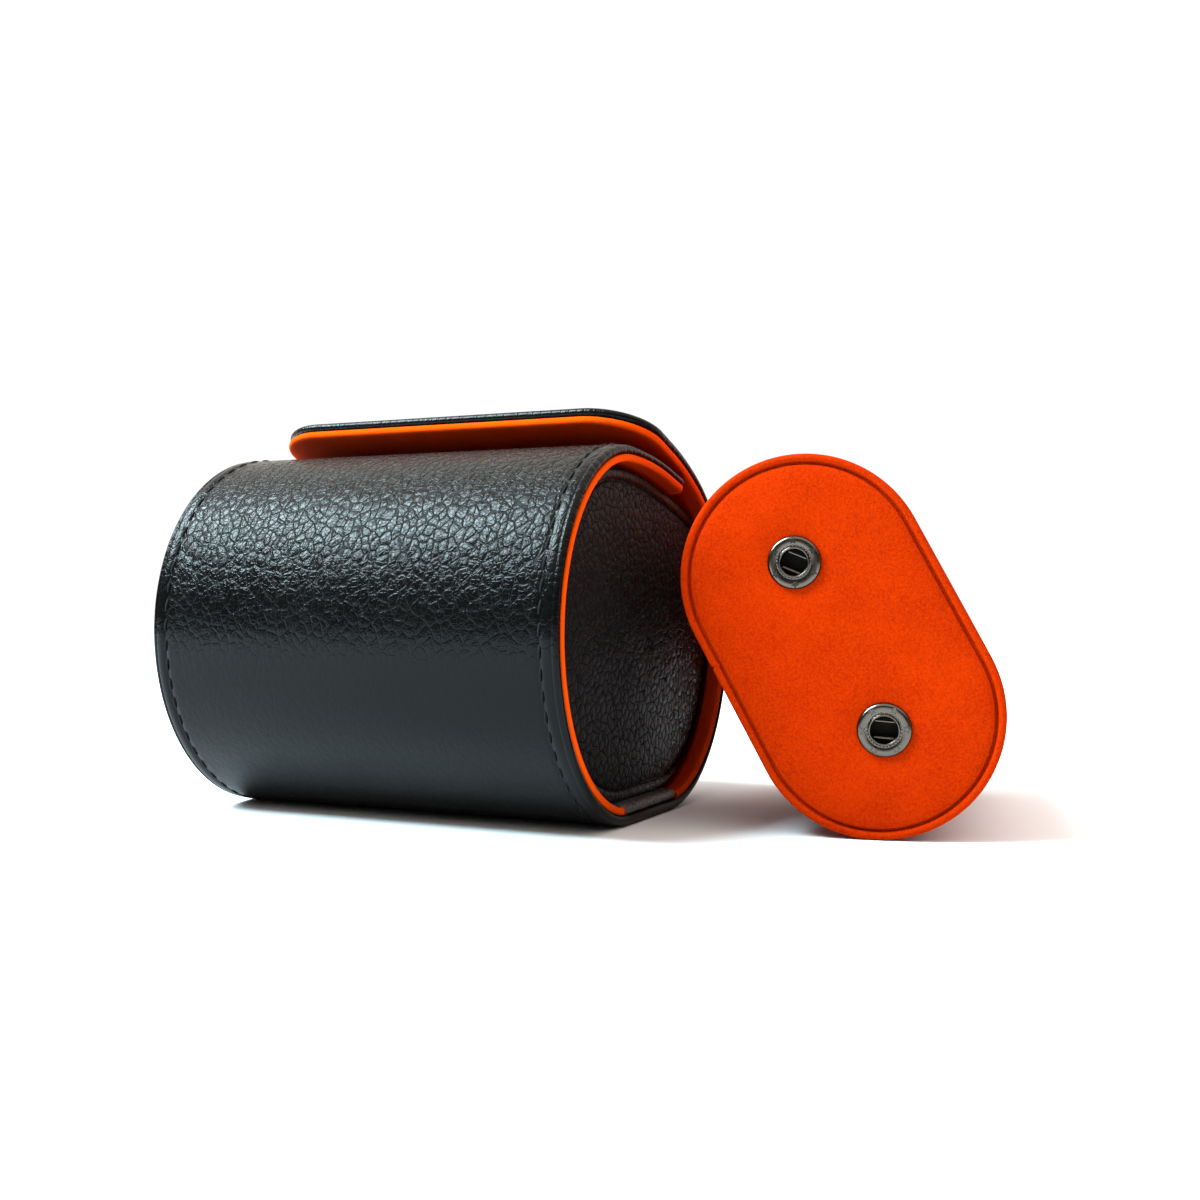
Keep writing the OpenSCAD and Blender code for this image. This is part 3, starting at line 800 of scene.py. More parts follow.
@dataclass
class BentSheet:
    """Sheet cut flat with rounded corners at its end, and bent along a line. Its top stands
    higher by its lift at the left side, and lower by as much at the right one."""

    line: BentLine
    half_width: float
    corner_r: float
    edge_steps: tuple[float, ...]
    plane: Plane = Plane.ALONG_X
    centre: float = 0.0
    row_mm: float = 1.2
    column_mm: float = 1.5
    lift: float = 0.0
    lift_height: float = 1.0
    fuzz_highlight_w: float = 0.7
    polish_from: float = -18.0
    polish_run: float = 18.0
    least_polish: float = 0.15
    both_ends: bool = False

    def rows(self) -> Array:
        """Places of the mesh's rows along the line, close together at the free edge."""
        steps = np.array(self.edge_steps)
        low = steps if self.both_ends else np.array([0.0])
        inner = self.line.length - steps[-1] - low[-1]
        middle = low[-1] + np.linspace(0, inner, max(int(inner / self.row_mm), 2))[1:-1]
        return np.concatenate([low, middle, (self.line.length - steps)[::-1]])

    def columns(self) -> tuple[Array, Array]:
        """Places of the mesh's columns across the sheet.

        Returns:
            Share of the inner width from -1 to 1, and inset from the nearer edge.
        """
        steps = np.array(self.edge_steps)
        inner = self.half_width - steps[-1]
        middle = np.linspace(-1, 1, max(int(2 * inner / self.column_mm), 2) + 1)
        side = np.ones(len(steps) - 1)
        share = np.concatenate([-side, middle, side])
        inset = np.concatenate([steps[:-1], np.full(len(middle), steps[-1]), steps[-2::-1]])
        return share, inset

    def width_at(self, s: Array) -> Array:
        """Half the width of the cut sheet at distances along the line."""
        left = np.clip(self.line.length - s, 0, self.corner_r)
        reach = np.sqrt(np.maximum(self.corner_r**2 - (self.corner_r - left) ** 2, 0))
        return self.half_width - self.corner_r + reach

    def edge_distance(self, s: Array, u: Array) -> Array:
        """Distance of flat points from the cut edge.

        Args:
            s: Distances along the line.
            u: Distances from the middle of the sheet.

        Returns:
            The distance to the nearest side, free edge or rounded corner.
        """
        side = self.half_width - np.abs(u)
        end = self.line.length - s
        nearest = np.minimum(side, end)
        if self.both_ends:
            nearest = np.minimum(nearest, s)
        a, b = self.corner_r - side, self.corner_r - end
        corner = self.corner_r - np.hypot(a, b)
        return np.maximum(np.where((a > 0) & (b > 0), corner, nearest), 0)

    def place(self, s: Array, u: Array, depth: Array) -> Array:
        """Bends flat points.

        Args:
            s: Distances along the line.
            u: Distances from the middle of the sheet.
            depth: Depths below the outside.

        Returns:
            Points in the row frame, in millimetres.
        """
        points, normals = self.line.at(s)
        across, height = np.moveaxis(points - normals * depth[..., None], -1, 0)
        height = height - self.lift * u / self.half_width * height / self.lift_height
        if self.plane is Plane.ALONG_X:
            return np.stack([self.centre + u, across, height], axis=-1)
        return np.stack([across, self.centre + u, height], axis=-1)

    def shell(
        self, name: str, outer: SheetValues, inner: SheetValues,
        grain: SheetValues = full_grain,
    ) -> Piece:
        """Makes the sheet from two flat grids, bent and joined at the cut edge.

        Args:
            name: Name of the piece.
            outer: Depth of the outer face, from the distances along the line and to the
                cut edge.
            inner: Depth of the inner face, from the same.
            grain: Share of the leather's full grain, from the same.

        Returns:
            The closed sheet, with its flat map and its shares of grain, of the edge's fuzz and painted
            highlight, and of polish.
        """
        rows = self.rows()
        share, inset = self.columns()
        faces = []
        for depth_of in (outer, inner):
            select_only()
            bpy.ops.mesh.primitive_grid_add(
                x_subdivisions=len(rows) - 1, y_subdivisions=len(share) - 1, size=2
            )
            obj = bpy.context.object
            spots = (vertex_points(obj) * MM + 1) / 2
            i = np.rint(spots[:, 0] * (len(rows) - 1)).astype(int)
            j = np.rint(spots[:, 1] * (len(share) - 1)).astype(int)
            s = rows[i]
            wide = self.width_at(s)
            u = share[j] * (wide - np.minimum(inset[j], wide))
            edge = self.edge_distance(s, u)
            place_vertices(obj, self.place(s, u, depth_of(s, edge)))
            set_flat_map(obj, np.stack([s, u + self.centre], axis=1))
            set_share(obj, GRAIN_MAP, grain(s, edge))
            # Share of the edge's fuzz and painted highlight, falling off away from the cut edge.
            set_share(obj, EDGE_HIGHLIGHT_MAP, bell(edge, self.fuzz_highlight_w))
            polish = ramp(s, self.polish_from, self.polish_run, self.least_polish)
            set_share(obj, POLISH_MAP, polish)
            faces.append(obj)
        obj = join(name, faces)
        with edit_mode(obj):
            bpy.ops.mesh.select_all(action="SELECT")
            bpy.ops.mesh.remove_doubles(threshold=MERGE_MM * MM)
            if not self.both_ends:
                bpy.ops.mesh.select_all(action="DESELECT")
                bpy.ops.mesh.select_non_manifold(
                    extend=False, use_wire=False, use_multi_face=False,
                    use_non_contiguous=False, use_verts=False,
                )
                bpy.ops.mesh.edge_face_add()
        return close_up(obj, 60.0)


@dataclass
class RollShape:
    """Outside of the wrap seen along the roll: two half ovals, the front top that turns
    down into the inner flap, and the outer flap that rises over it. A name that ends in a
    is an angle in degrees, in l a length, in r a radius, and in y a place."""

    width: float
    height: float = 74.0
    front_drop: float = 0.6
    front_reach: float = 33.0
    back_reach: float = 35.0
    flap_hinge_a: float = 48.0
    flap_bend_a: float = 62.0
    flap_bend_l: float = 16.0
    flap_rise: float = 17.3
    flap_edge_back: float = 2.4
    lip_hinge_l: float = 4.6
    lip_bend_l: float = 20.0
    lip_bend_r: float = 85.0
    lip_l: float = 28.4
    seam_y: float = -4.0

    @property
    def front_y(self) -> float:
        """Place of the front oval's middle."""
        return self.front_reach - self.width / 2

    @property
    def back_y(self) -> float:
        """Place of the back oval's middle."""
        return self.width / 2 - self.back_reach

    def front(self, degrees: Array) -> Array:
        """Points on the front oval, at angles from the back, over the top."""
        a = np.radians(degrees)
        half = self.height / 2
        rise = np.where(np.sin(a) > 0, half - self.front_drop, half)
        y = self.front_y + self.front_reach * np.cos(a)
        return np.stack([y, half + rise * np.sin(a)], -1)

    def back(self, degrees: Array) -> Array:
        """Points on the back oval, at angles above level."""
        a = np.radians(degrees)
        half = self.height / 2
        y = self.back_y + self.back_reach * np.cos(a)
        return np.stack([y, half + half * np.sin(a)], -1)

    def lip(self, s: Array) -> Array:
        """Points on the front top and the inner flap, at distances from the oval's top."""
        turn = np.minimum(s, self.lip_bend_l) / self.lip_bend_r
        run = np.maximum(s - self.lip_bend_l, 0)
        y = self.front_y + self.lip_bend_r * np.sin(turn) + run * np.cos(turn)
        fall = self.lip_bend_r * (1 - np.cos(turn))
        z = self.height - self.front_drop - fall - run * np.sin(turn)
        return np.stack([y, z], -1)

    def flap(self, s: Array) -> Array:
        """Points on the outer flap, at distances from where it leaves the oval."""
        bend = math.radians(self.flap_bend_a)
        rise = self.height / 2 * math.cos(bend)
        h0 = math.atan2(rise, -self.back_reach * math.sin(bend))
        h1 = math.radians(180 - self.flap_rise)
        radius = self.flap_bend_l / (h1 - h0)
        h = h0 + (h1 - h0) * np.minimum(s / self.flap_bend_l, 1)
        run = np.maximum(s - self.flap_bend_l, 0)
        y = radius * (np.sin(h) - math.sin(h0)) + run * np.cos(h)
        z = radius * (math.cos(h0) - np.cos(h)) + run * np.sin(h)
        return self.back(np.array(self.flap_bend_a)) + np.stack([y, z], -1)

    def flap_length(self) -> float:
        """Length of the outer flap from where it leaves the oval to its free edge."""
        bent_y = float(self.flap(np.array(self.flap_bend_l))[0])
        straight_y = bent_y - self.front_y - self.flap_edge_back
        return self.flap_bend_l + straight_y / math.cos(math.radians(self.flap_rise))

    def floor(self, end_y: float, count: int) -> Array:
        """Points on the floor, from the seam to where an oval starts."""
        return np.stack([np.linspace(self.seam_y, end_y, count), np.zeros(count)], -1)

    def back_line(self) -> BentLine:
        """Line from the seam under the roll, up its back and over the outer flap."""
        oval = self.back(np.arange(-89.0, self.flap_bend_a, 1.0))
        flap = self.flap(np.linspace(0, self.flap_length(), 60))
        return BentLine(np.concatenate([self.floor(self.back_y, 12), oval, flap]), 1)

    def front_line(self) -> BentLine:
        """Line from the seam under the roll, up its front and over the inner flap."""
        oval = self.front(np.arange(269.0, 90.0, -1.0))
        lip = self.lip(np.linspace(0, self.lip_l, 50))
        return BentLine(np.concatenate([self.floor(self.front_y, 8), oval, lip]), -1)


@dataclass
class Stitching:
    """Saddle stitch that runs round a sheet at a steady distance from its edge."""

    inset: float = 3.5
    pitch: float = 3.9
    length: float = 3.1
    thread_r: float = 0.24
    slant_deg: float = 7.0
    sink: float = 1.6
    seat: float = 0.02
    least_corner_r: float = 0.5
    look_ahead: float = 0.1

    def path(self, sheet: BentSheet) -> Array:
        """Flat places of the stitches, up one side, round the free edge and down the other.

        Args:
            sheet: Sheet that is sewn.

        Returns:
            Distance along the line, distance from the middle, and heading of each stitch.
        """
        side = sheet.half_width - self.inset
        end = sheet.line.length - self.inset
        r = max(sheet.corner_r - self.inset, self.least_corner_r)
        turns = np.radians(np.arange(0, 91, 5))
        corner = np.stack([end - r + r * np.sin(turns), side - r + r * np.cos(turns)], -1)
        half = np.concatenate([[[self.inset / 2, side]], corner, [[end, 0.0]]])
        line = np.concatenate([half, (half * [1, -1])[::-1][1:]])
        along = lengths_along(line)
        count = int(along[-1] / self.pitch)
        at = (np.arange(count) + 0.5) * along[-1] / count
        before, after = (
            values_at(at + d, along, line) for d in (-self.look_ahead, self.look_ahead)
        )
        way = after - before
        heading = np.arctan2(way[:, 1], way[:, 0])
        return np.column_stack([values_at(at, along, line), heading])

    def stitch(self) -> Piece:
        """Models one stitch, lying along X, with its ends drawn down into the leather."""
        select_only()
        bpy.ops.mesh.primitive_uv_sphere_add(
            segments=8, ring_count=9, radius=self.thread_r * MM
        )
        obj = bpy.context.object
        points = vertex_points(obj)
        x = points[:, 2] / self.thread_r
        round_w, blunt_w = (np.sqrt(np.maximum(1 - x**k, 0.0025)) for k in (2, 4))
        width = blunt_w / round_w
        down = np.abs(x) ** 3 * self.thread_r * self.sink
        stretched = [x * self.length / 2, points[:, 0] * width, points[:, 1] * width - down]
        place_vertices(obj, np.stack(stretched, -1))
        return obj

    def sew(self, name: str, sheet: BentSheet) -> Piece:
        """Sews a row of stitches into a sheet.

        Args:
            name: Name of the piece.
            sheet: Sheet that is sewn.

        Returns:
            All its stitches as one piece.
        """
        model = self.stitch()
        shape = vertex_points(model)
        copies = []
        for s, u, heading in self.path(sheet):
            turn = heading + math.radians(self.slant_deg)
            ahead, aside = turned(shape[:, 0], shape[:, 1], turn)
            along, across = s + ahead, u + aside
            copy = copy_of(model)
            place_vertices(copy, sheet.place(along, across, self.seat - shape[:, 2]))
            set_flat_map(copy, np.stack([along, across], 1))
            copies.append(copy)
        bpy.data.objects.remove(model)
        return close_up(join(name, copies))


@dataclass
class Wrap:
    """Wrap of the case and its two flaps: black leather turned over a stiffening board,
    with an orange suede lining whose edge shows beside it. The leather has little grain and
    polish low on the roll, and it is pared thin round the inner flap."""

    finishes: Finishes
    shape: RollShape
    half_length: float
    covered_t: float = 2.0
    lining_t: float = 1.4
    flap_corner_r: float = 13.0
    lip_corner_r: float = 2.5
    edge_r: float = 1.0
    lining_edge_r: float = 0.45
    lift: float = 0.3
    pared: float = 0.5
    pared_w: float = 5.0
    pared_ahead: float = 8.0
    pared_run: float = 14.0
    crease_at: float = 1.15
    crease_depth: float = 0.12
    crease_w: float = 0.14
    groove_depth: float = 0.16
    groove_w: float = 0.4
    puff: float = 0.14
    puff_w: float = 0.7
    flush_w: float = 0.6
    leather_lines: tuple[float, ...] = (
        1.08, 1.16, 1.28, 1.5, 1.9, 2.4, 2.85, 3.15, 3.35, 3.5, 3.65, 3.85, 4.2, 5.0, 6.2,
    )
    lining_lines: tuple[float, ...] = (0.9, 2.0, 3.5, 5.0)
    smooth_to: float = 54.0
    smooth_run: float = 26.0
    smooth_grain: float = 0.14
    edge_grain: float = 0.5
    edge_grain_to: float = 2.6
    edge_grain_run: float = 1.6
    polish_from: float = 28.0
    outer_bend_l: float = 8.0
    inner_bend_l: float = 4.8
    inner_bend_way: tuple[float, float] = (0.8, 0.6)
    tab_half_w: float = 13.0
    tab_y: float = -1.6
    tab_floor_l: float = 12.0
    notch_past: float = 2.0
    notch_h: float = 14.0
    notch_z: float = 3.0
    stitching: Stitching = field(default_factory=Stitching)

    def sheet(self, line: BentLine, corner_r: float, steps: tuple[float, ...]) -> BentSheet:
        """Lays out one half of the wrap."""
        return BentSheet(
            line, self.half_length, corner_r, steps, lift=self.lift,
            lift_height=self.shape.height, polish_from=self.polish_from,
        )

    def relief(self, edge: Array) -> Array:
        """Height of the leather's edge finish: a creased line, a swell and a sewn groove.

        Args:
            edge: Distances from the cut edge.

        Returns:
            Heights above the plain face.
        """
        inset = self.stitching.inset
        crease = self.crease_depth * bell(edge - self.crease_at, self.crease_w)
        groove = self.groove_depth * bell(edge - inset, self.groove_w)
        swell = self.puff * bell(edge - (self.crease_at + inset) / 2, self.puff_w)
        return (swell - crease - groove) * ramp(edge, 0, self.flush_w)

    def pared_by(self, s: Array, edge: Array, pared_from: float) -> Array:
        """Depth by which the outside is pared down round the inner flap's edge.

        Args:
            s: Distances along the wrap.
            edge: Distances to the cut edge.
            pared_from: Distance along the wrap at which the paring starts.

        Returns:
            Depths below the plain outside.
        """
        return self.pared * ramp(s, pared_from, self.pared_run) * bell(edge, self.pared_w)

    def leather(self, name: str, sheet: BentSheet, pared_from: float) -> Piece:
        """Makes one half of the outer leather, with its board inside.

        Args:
            name: Name of the piece.
            sheet: Its layout.
            pared_from: Distance along the wrap at which its edge gets thinner.

        Returns:
            The piece.
        """

        def outer(s: Array, edge: Array) -> Array:
            pared = self.pared_by(s, edge, pared_from)
            half = (self.covered_t - pared) / 2
            return pared + half * rolled(edge, self.edge_r) - self.relief(edge)

        def inner(s: Array, edge: Array) -> Array:
            half = (self.covered_t - self.pared_by(s, edge, pared_from)) / 2
            return self.covered_t - half * rolled(edge, self.edge_r)

        def grain(s: Array, edge: Array) -> Array:
            kept = ramp(s, self.smooth_to, self.smooth_run)
            beside = ramp(edge, self.edge_grain_to, self.edge_grain_run, self.edge_grain)
            return beside * (self.smooth_grain + (1 - self.smooth_grain) * kept)

        return dress(sheet.shell(name, outer, inner, grain), self.finishes.wrap)

    def lining(self, name: str, sheet: BentSheet) -> Piece:
        """Makes one half of the lining, inside the leather and the board."""

        def outer(s: Array, edge: Array) -> Array:
            return self.covered_t + self.lining_t / 2 * rolled(edge, self.lining_edge_r)

        def inner(s: Array, edge: Array) -> Array:
            left = 1 - rolled(edge, self.lining_edge_r) / 2
            return self.covered_t + self.lining_t * left

        return dress(sheet.shell(name, outer, inner), self.finishes.lining)

    def notch_lining(self, lining: Piece) -> None:
        """Cuts the places of the two hinge tabs out of the lining on the case's floor."""
        size = [self.tab_floor_l + self.notch_past, 2 * self.tab_half_w, self.notch_h]
        for side in Side:
            select_only()
            bpy.ops.mesh.primitive_cube_add(size=MM)
            tool = bpy.context.object
            reach = self.half_length - self.tab_floor_l / 2 + self.notch_past / 2
            middle = [side.value * reach, self.tab_y, self.notch_z]
            place_vertices(tool, vertex_points(tool) * size + middle)
            subtract(lining, tool)

    def build(self) -> list[Piece]:
        """Builds the wrap.

        Returns:
            Its pieces, riding on the case and the flaps.
        """
        leather_steps = edge_steps(self.edge_r, self.leather_lines)
        lining_steps = edge_steps(self.lining_edge_r, self.lining_lines)
        back_line, front_line = self.shape.back_line(), self.shape.front_line()
        inner_from = front_line.length - self.shape.lip_l - self.pared_ahead
        case_nodes = ("case_leather", "case_board")
        halves = {
            "outer_flap": (back_line, self.flap_corner_r, math.inf, case_nodes),
            "inner_flap": (front_line, self.lip_corner_r, inner_from, ()),
        }
        pieces = []
        for body, (line, corner_r, pared_from, more_nodes) in halves.items():
            name = f"{body}_and_case"
            sheet = self.sheet(line, corner_r, leather_steps)
            leather = self.leather(f"{name}_leather", sheet, pared_from)
            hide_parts(f"{body}_leather", f"{body}_board", *more_nodes)
            stitches = self.stitching.sew(f"{name}_stitches", sheet)
            dress(stitches, self.finishes.thread)
            lining = self.lining(f"{name}_lining", self.sheet(line, corner_r, lining_steps))
            self.notch_lining(lining)
            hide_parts(f"{body}_lining", "case_lining")
            for piece in (leather, stitches, lining):
                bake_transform(piece, "case", body, *self.hinge_span(body))
                pieces.append(piece)
        return pieces

    def hinge_span(self, body: str) -> tuple[tuple[float, ...], tuple[float, ...]]:
        """Gives the points between which the wrap bends at a flap's hinge.

        Args:
            body: The flap.

        Returns:
            Start and end of the bend, in metres.
        """
        if body == "outer_flap":
            hinge = self.shape.back(np.array(self.shape.flap_hinge_a))
            ahead = self.shape.back(np.array(self.shape.flap_hinge_a + 1.0)) - hinge
            way = ahead / np.linalg.norm(ahead) * self.outer_bend_l / 2
        else:
            hinge = self.shape.lip(np.array(self.shape.lip_hinge_l))
            way = np.array(self.inner_bend_way) * self.inner_bend_l / 2
        start, end = hinge - way, hinge + way
        return (0.0, *(start * MM)), (0.0, *(end * MM))


@dataclass
class EndPanel:
    """Stiff end panel: a board wrapped in pebbled leather with a raised rim, lined in
    suede, and hung on a leather tab that is glued to the case's floor and to the panel. Its
    edge keeps a gap from the wrap's lining, wider beside the outer flap's hinge and below
    the inner flap, so that the panel can swing and the flaps can close."""

    finishes: Finishes
    shape: RollShape
    half_length: float
    side: Side
    recess: float = 3.0
    thickness: float = 3.6
    lining_t: float = 1.0
    wall: float = 3.4
    gap: float = 0.6
    hinge_gap: float = 0.5
    hinge_gap_deg: float = 14.0
    top_gap: float = 0.9
    tilt: float = 0.0038
    top_r: float = 110.0
    corner_r: float = 6.0
    rounding: float = 0.55
    samples: int = 720
    kept_step: int = 3
    even_inset: float = 4.5
    half_narrow: float = 32.0
    rim_w: float = 2.5
    rim_r: float = 0.9
    groove_d: float = 0.6
    crown: float = 0.4
    rim_fade: float = 0.6
    rim_grain: float = 0.35
    rim_polish: float = 0.3
    dull_polish: float = 0.16
    tab_half_w: float = 13.0
    tab_y: float = -1.6
    tab_floor_l: float = 12.0
    tab_play: float = 0.05
    tab_t: float = 1.4
    tab_edge_r: float = 0.4
    tab_pared: float = 0.45
    floor_z: float = 2.0
    leaf_z: float = 4.2
    leaf_h: float = 17.7
    leaf_turn_r: float = 0.6
    fold_inset: float = 0.3

    @property
    def name(self) -> str:
        """Side of the roll, as names of pieces say it."""
        return self.side.name.lower()

    def outline(self) -> tuple[Array, Array]:
        """Edge of the panel: the oval inside the lining, cut off by a shallow arc.

        Returns:
            Points as Y and Z, and the outward normals there.
        """
        ring = []
        for oval, a0, a1 in ((self.shape.front, 90, 270), (self.shape.back, -90, 90)):
            degrees = np.arange(a0, a1 + 0.1, 3.0)
            points = oval(degrees)
            beside_hinge = bell(degrees - self.shape.flap_hinge_a, self.hinge_gap_deg)
            inset = self.wall + self.gap + self.hinge_gap * beside_hinge
            ring.append(points - BentLine(points, 1).normals * inset[:, None])
        smooth, normals = self.resample(self.cut_by_top(np.concatenate(ring)))
        return smooth * [1, 1 - self.side.value * self.tilt], normals

    def top_line(self) -> Array:
        """Top of the panel, from front to back: a little below the inner flap's lining, and
        falling away in an arc behind it."""
        line = BentLine(self.shape.lip(np.linspace(0, self.shape.lip_l, 40)), -1)
        under = line.points - line.normals * (self.wall + self.top_gap)
        tip, step = under[-1], under[-1] - under[-3]
        run = np.linspace(0, self.shape.width / 2 - tip[0], 40)[1:]
        fall = run**2 / (2 * self.top_r)
        behind = np.stack([tip[0] + run, tip[1] + step[1] / step[0] * run - fall], -1)
        ahead = under[:1] - [12.0, 0.3]
        return np.concatenate([ahead, under, behind])

    def cut_by_top(self, points: Array) -> Array:
        """Replaces what stands above the top line by that line.

        Args:
            points: Closed outline.

        Returns:
            The cut outline.
        """
        top = self.top_line()
        points = np.roll(points, -int(np.argmin(points[:, 1])), axis=0)
        inside = points[:, 1] < np.interp(points[:, 0], top[:, 0], top[:, 1])
        first = int(np.argmin(inside))
        last = len(points) - int(np.argmin(inside[::-1]))
        ahead, behind = points[:first], points[last:]
        if ahead[-1, 0] > behind[0, 0]:
            top = top[::-1]
        low, high = sorted((ahead[-1, 0], behind[0, 0]))
        middle = top[(top[:, 0] > low + 0.5) & (top[:, 0] < high - 0.5)]
        return np.concatenate([ahead, middle, behind])

    def resample(self, points: Array) -> tuple[Array, Array]:
        """Spaces an outline evenly and rounds its corners.

        Args:
            points: Closed outline.

        Returns:
            Even points, and their outward normals.
        """
        closed = np.concatenate([points, points[:1]])
        along = lengths_along(closed)
        at = np.linspace(0, along[-1], self.samples + 1)[:-1]
        even = values_at(at, along, closed)
        reach = int(self.corner_r * self.rounding / (along[-1] / self.samples))
        weights = np.hanning(2 * reach + 1)
        weights /= weights.sum()
        padded = np.concatenate([even[-reach:], even, even[:reach]])
        smooth = np.stack([np.convolve(padded[:, k], weights, "valid") for k in (0, 1)], -1)
        smooth = smooth[:: self.kept_step]
        ahead = np.roll(smooth, -1, axis=0) - np.roll(smooth, 1, axis=0)
        ahead /= np.linalg.norm(ahead, axis=1)[:, None]
        normals = np.stack([ahead[:, 1], -ahead[:, 0]], -1)
        if np.sum(normals * (smooth - smooth.mean(axis=0))) < 0:
            normals = -normals
        return smooth, normals

    def rings(self, profile: Sequence[tuple[float, float]]) -> list[Array]:
        """Outlines of a lofted layer.

        Args:
            profile: Inset from the edge and distance in from the end of the roll, in turn.

        Returns:
            One ring for each.
        """
        points, normals = self.outline()
        rings = []
        for inset, depth in profile:
            at = points - normals * min(inset, self.even_inset)
            middle = at.mean(axis=0)
            beyond = max(inset - self.even_inset, 0) / self.half_narrow
            at = middle + (at - middle) * (1 - beyond)
            x = np.full(len(at), self.side.value * (self.half_length - depth))
            rings.append(np.column_stack([x, at]))
        return rings

    def leather(self) -> Piece:
        """Makes the covered board: a rolled rim, a groove inside it and a crowned face."""
        front = self.recess
        back = self.recess + self.thickness - self.lining_t
        deep, bend = self.groove_d, self.groove_d * 0.55
        edge = [(0.8, back), (0.25, back - 0.1), (0.0, back - 0.4)]
        groove = (
            (-0.8, -0.03), (-0.45, 0.08), (-0.22, bend), (-0.1, deep), (0.1, deep),
            (0.24, bend), (0.5, 0.22), (0.9, 0.1), (1.6, 0.0), (2.3, -self.crown * 0.2),
        )
        face = ((8.0, 0.6), (13.0, 0.9), (20.0, 1.0))
        profile = [
            *edge, *rim_steps(self.rim_r, front),
            *((self.rim_w + inset, front + depth) for inset, depth in groove),
            *((inset, front - self.crown * share) for inset, share in face),
        ]
        obj = loft(f"{self.name}_panel_leather", self.rings(profile))
        self.map_face(obj)
        return dress(obj, self.finishes.panel)

    def map_face(self, obj: Piece) -> None:
        """Lays the flat map over the panel's face, smooths the grain over its rim, and
        leaves a polish on the rim and low at the back."""
        points = vertex_points(obj)
        set_flat_map(obj, points[:, 1:])
        ring, _ = self.outline()
        away = np.linalg.norm(points[:, None, 1:] - ring[None], axis=2).min(axis=1)
        past_rim = away - self.rim_w
        grain = ramp(past_rim, -self.rim_fade, 2 * self.rim_fade, self.rim_grain)
        set_share(obj, GRAIN_MAP, grain)
        low = ramp(points[:, 1], -5, 30) * ramp(points[:, 2], 50, -20)
        rim = ramp(past_rim, self.rim_fade, -self.rim_fade)
        polish = self.dull_polish + (1 - self.dull_polish) * low + self.rim_polish * rim
        set_share(obj, POLISH_MAP, np.clip(polish, 0, 1))

    def lining(self) -> Piece:
        """Makes the suede on the inner side."""
        outer = self.recess + self.thickness - self.lining_t
        inner = self.recess + self.thickness
        profile = [
            (0.9, outer + 0.02), (0.55, outer + 0.1), (0.4, outer + 0.4),
            (0.5, inner - 0.25), (0.8, inner - 0.05), (1.6, inner),
        ]
        obj = loft(f"{self.name}_panel_suede", self.rings(profile))
        return dress(obj, self.finishes.suede)

    def tab_line(self) -> tuple[BentLine, float]:
        """Lays out the tab's outer side: along the floor, folded back at the end of the
        roll, and up the panel's inner side.

        Returns:
            The line at the right end, and the distance along it to the fold's middle.
        """
        fold_r = (self.leaf_z - self.floor_z) / 2
        fold_x = self.half_length - self.fold_inset - fold_r
        fold_z = self.floor_z + fold_r
        panel_x = self.half_length - self.recess - self.thickness
        turn_r = self.leaf_turn_r
        turn_z = self.leaf_z + turn_r
        start, ends = self.half_length - self.tab_floor_l, fold_x - 0.3
        half_turn = np.radians(np.arange(-90, 91, 10))
        rise = np.radians(np.arange(-90, -181, -15))
        fold = np.stack(
            [fold_x + fold_r * np.cos(half_turn), fold_z + fold_r * np.sin(half_turn)], -1
        )
        corner = np.stack(
            [panel_x + turn_r + turn_r * np.cos(rise), turn_z + turn_r * np.sin(rise)], -1
        )
        floor = np.linspace((start, self.floor_z), (ends, self.floor_z), 24)
        back = np.linspace((ends, self.leaf_z), (panel_x + 0.9, self.leaf_z), 12)
        leaf = np.linspace((panel_x, self.leaf_z + 0.9), (panel_x, self.leaf_h), 16)
        line = BentLine(np.concatenate([floor, fold, back, corner, leaf]), 1)
        return line, float(line.along[len(floor) + len(fold) // 2])

    def tab(self) -> Piece:
        """Makes the hinge tab, pared before and after its fold."""
        line, fold_s = self.tab_line()

        def thickness(s: Array) -> Array:
            before, after = ramp(s, fold_s - 4.5, 3.5), ramp(s, fold_s + 0.5, 2.0)
            return self.tab_t - self.tab_pared * before - self.tab_pared * after

        def outer(s: Array, edge: Array) -> Array:
            return rolled(edge, self.tab_edge_r) * thickness(s) / 2

        def inner(s: Array, edge: Array) -> Array:
            return thickness(s) * (1 - rolled(edge, self.tab_edge_r) / 2)

        sheet = BentSheet(
            line, self.tab_half_w - self.tab_play, 0.5, edge_steps(self.tab_edge_r, (0.7,)),
            Plane.ALONG_Y, self.tab_y, row_mm=0.35, column_mm=1.0, both_ends=True,
        )
        obj = sheet.shell(f"{self.name}_hinge_tab", outer, inner)
        if self.side is Side.LEFT:
            place_vertices(obj, vertex_points(obj) * [-1, 1, 1])
            obj.data.flip_normals()
        return dress(obj, self.finishes.tab)

    def build(self) -> list[Piece]:
        """Builds the panel and its tab.

        Returns:
            Their pieces, riding on the panel, and the tab bent between case and panel.
        """
        body = f"{self.name}_panel"
        leather, lining, tab = self.leather(), self.lining(), self.tab()
        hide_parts(f"{body}_rim", f"{body}_face", f"{body}_board")
        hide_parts(f"{body}_lining")
        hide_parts(f"{self.name}_tab", f"{body}_leaf")
        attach(leather, body)
        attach(lining, body)
        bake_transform(tab, "case", body, (0, 0, 3.35 * MM), (0, 0, 3.75 * MM))
        return [leather, lining, tab]


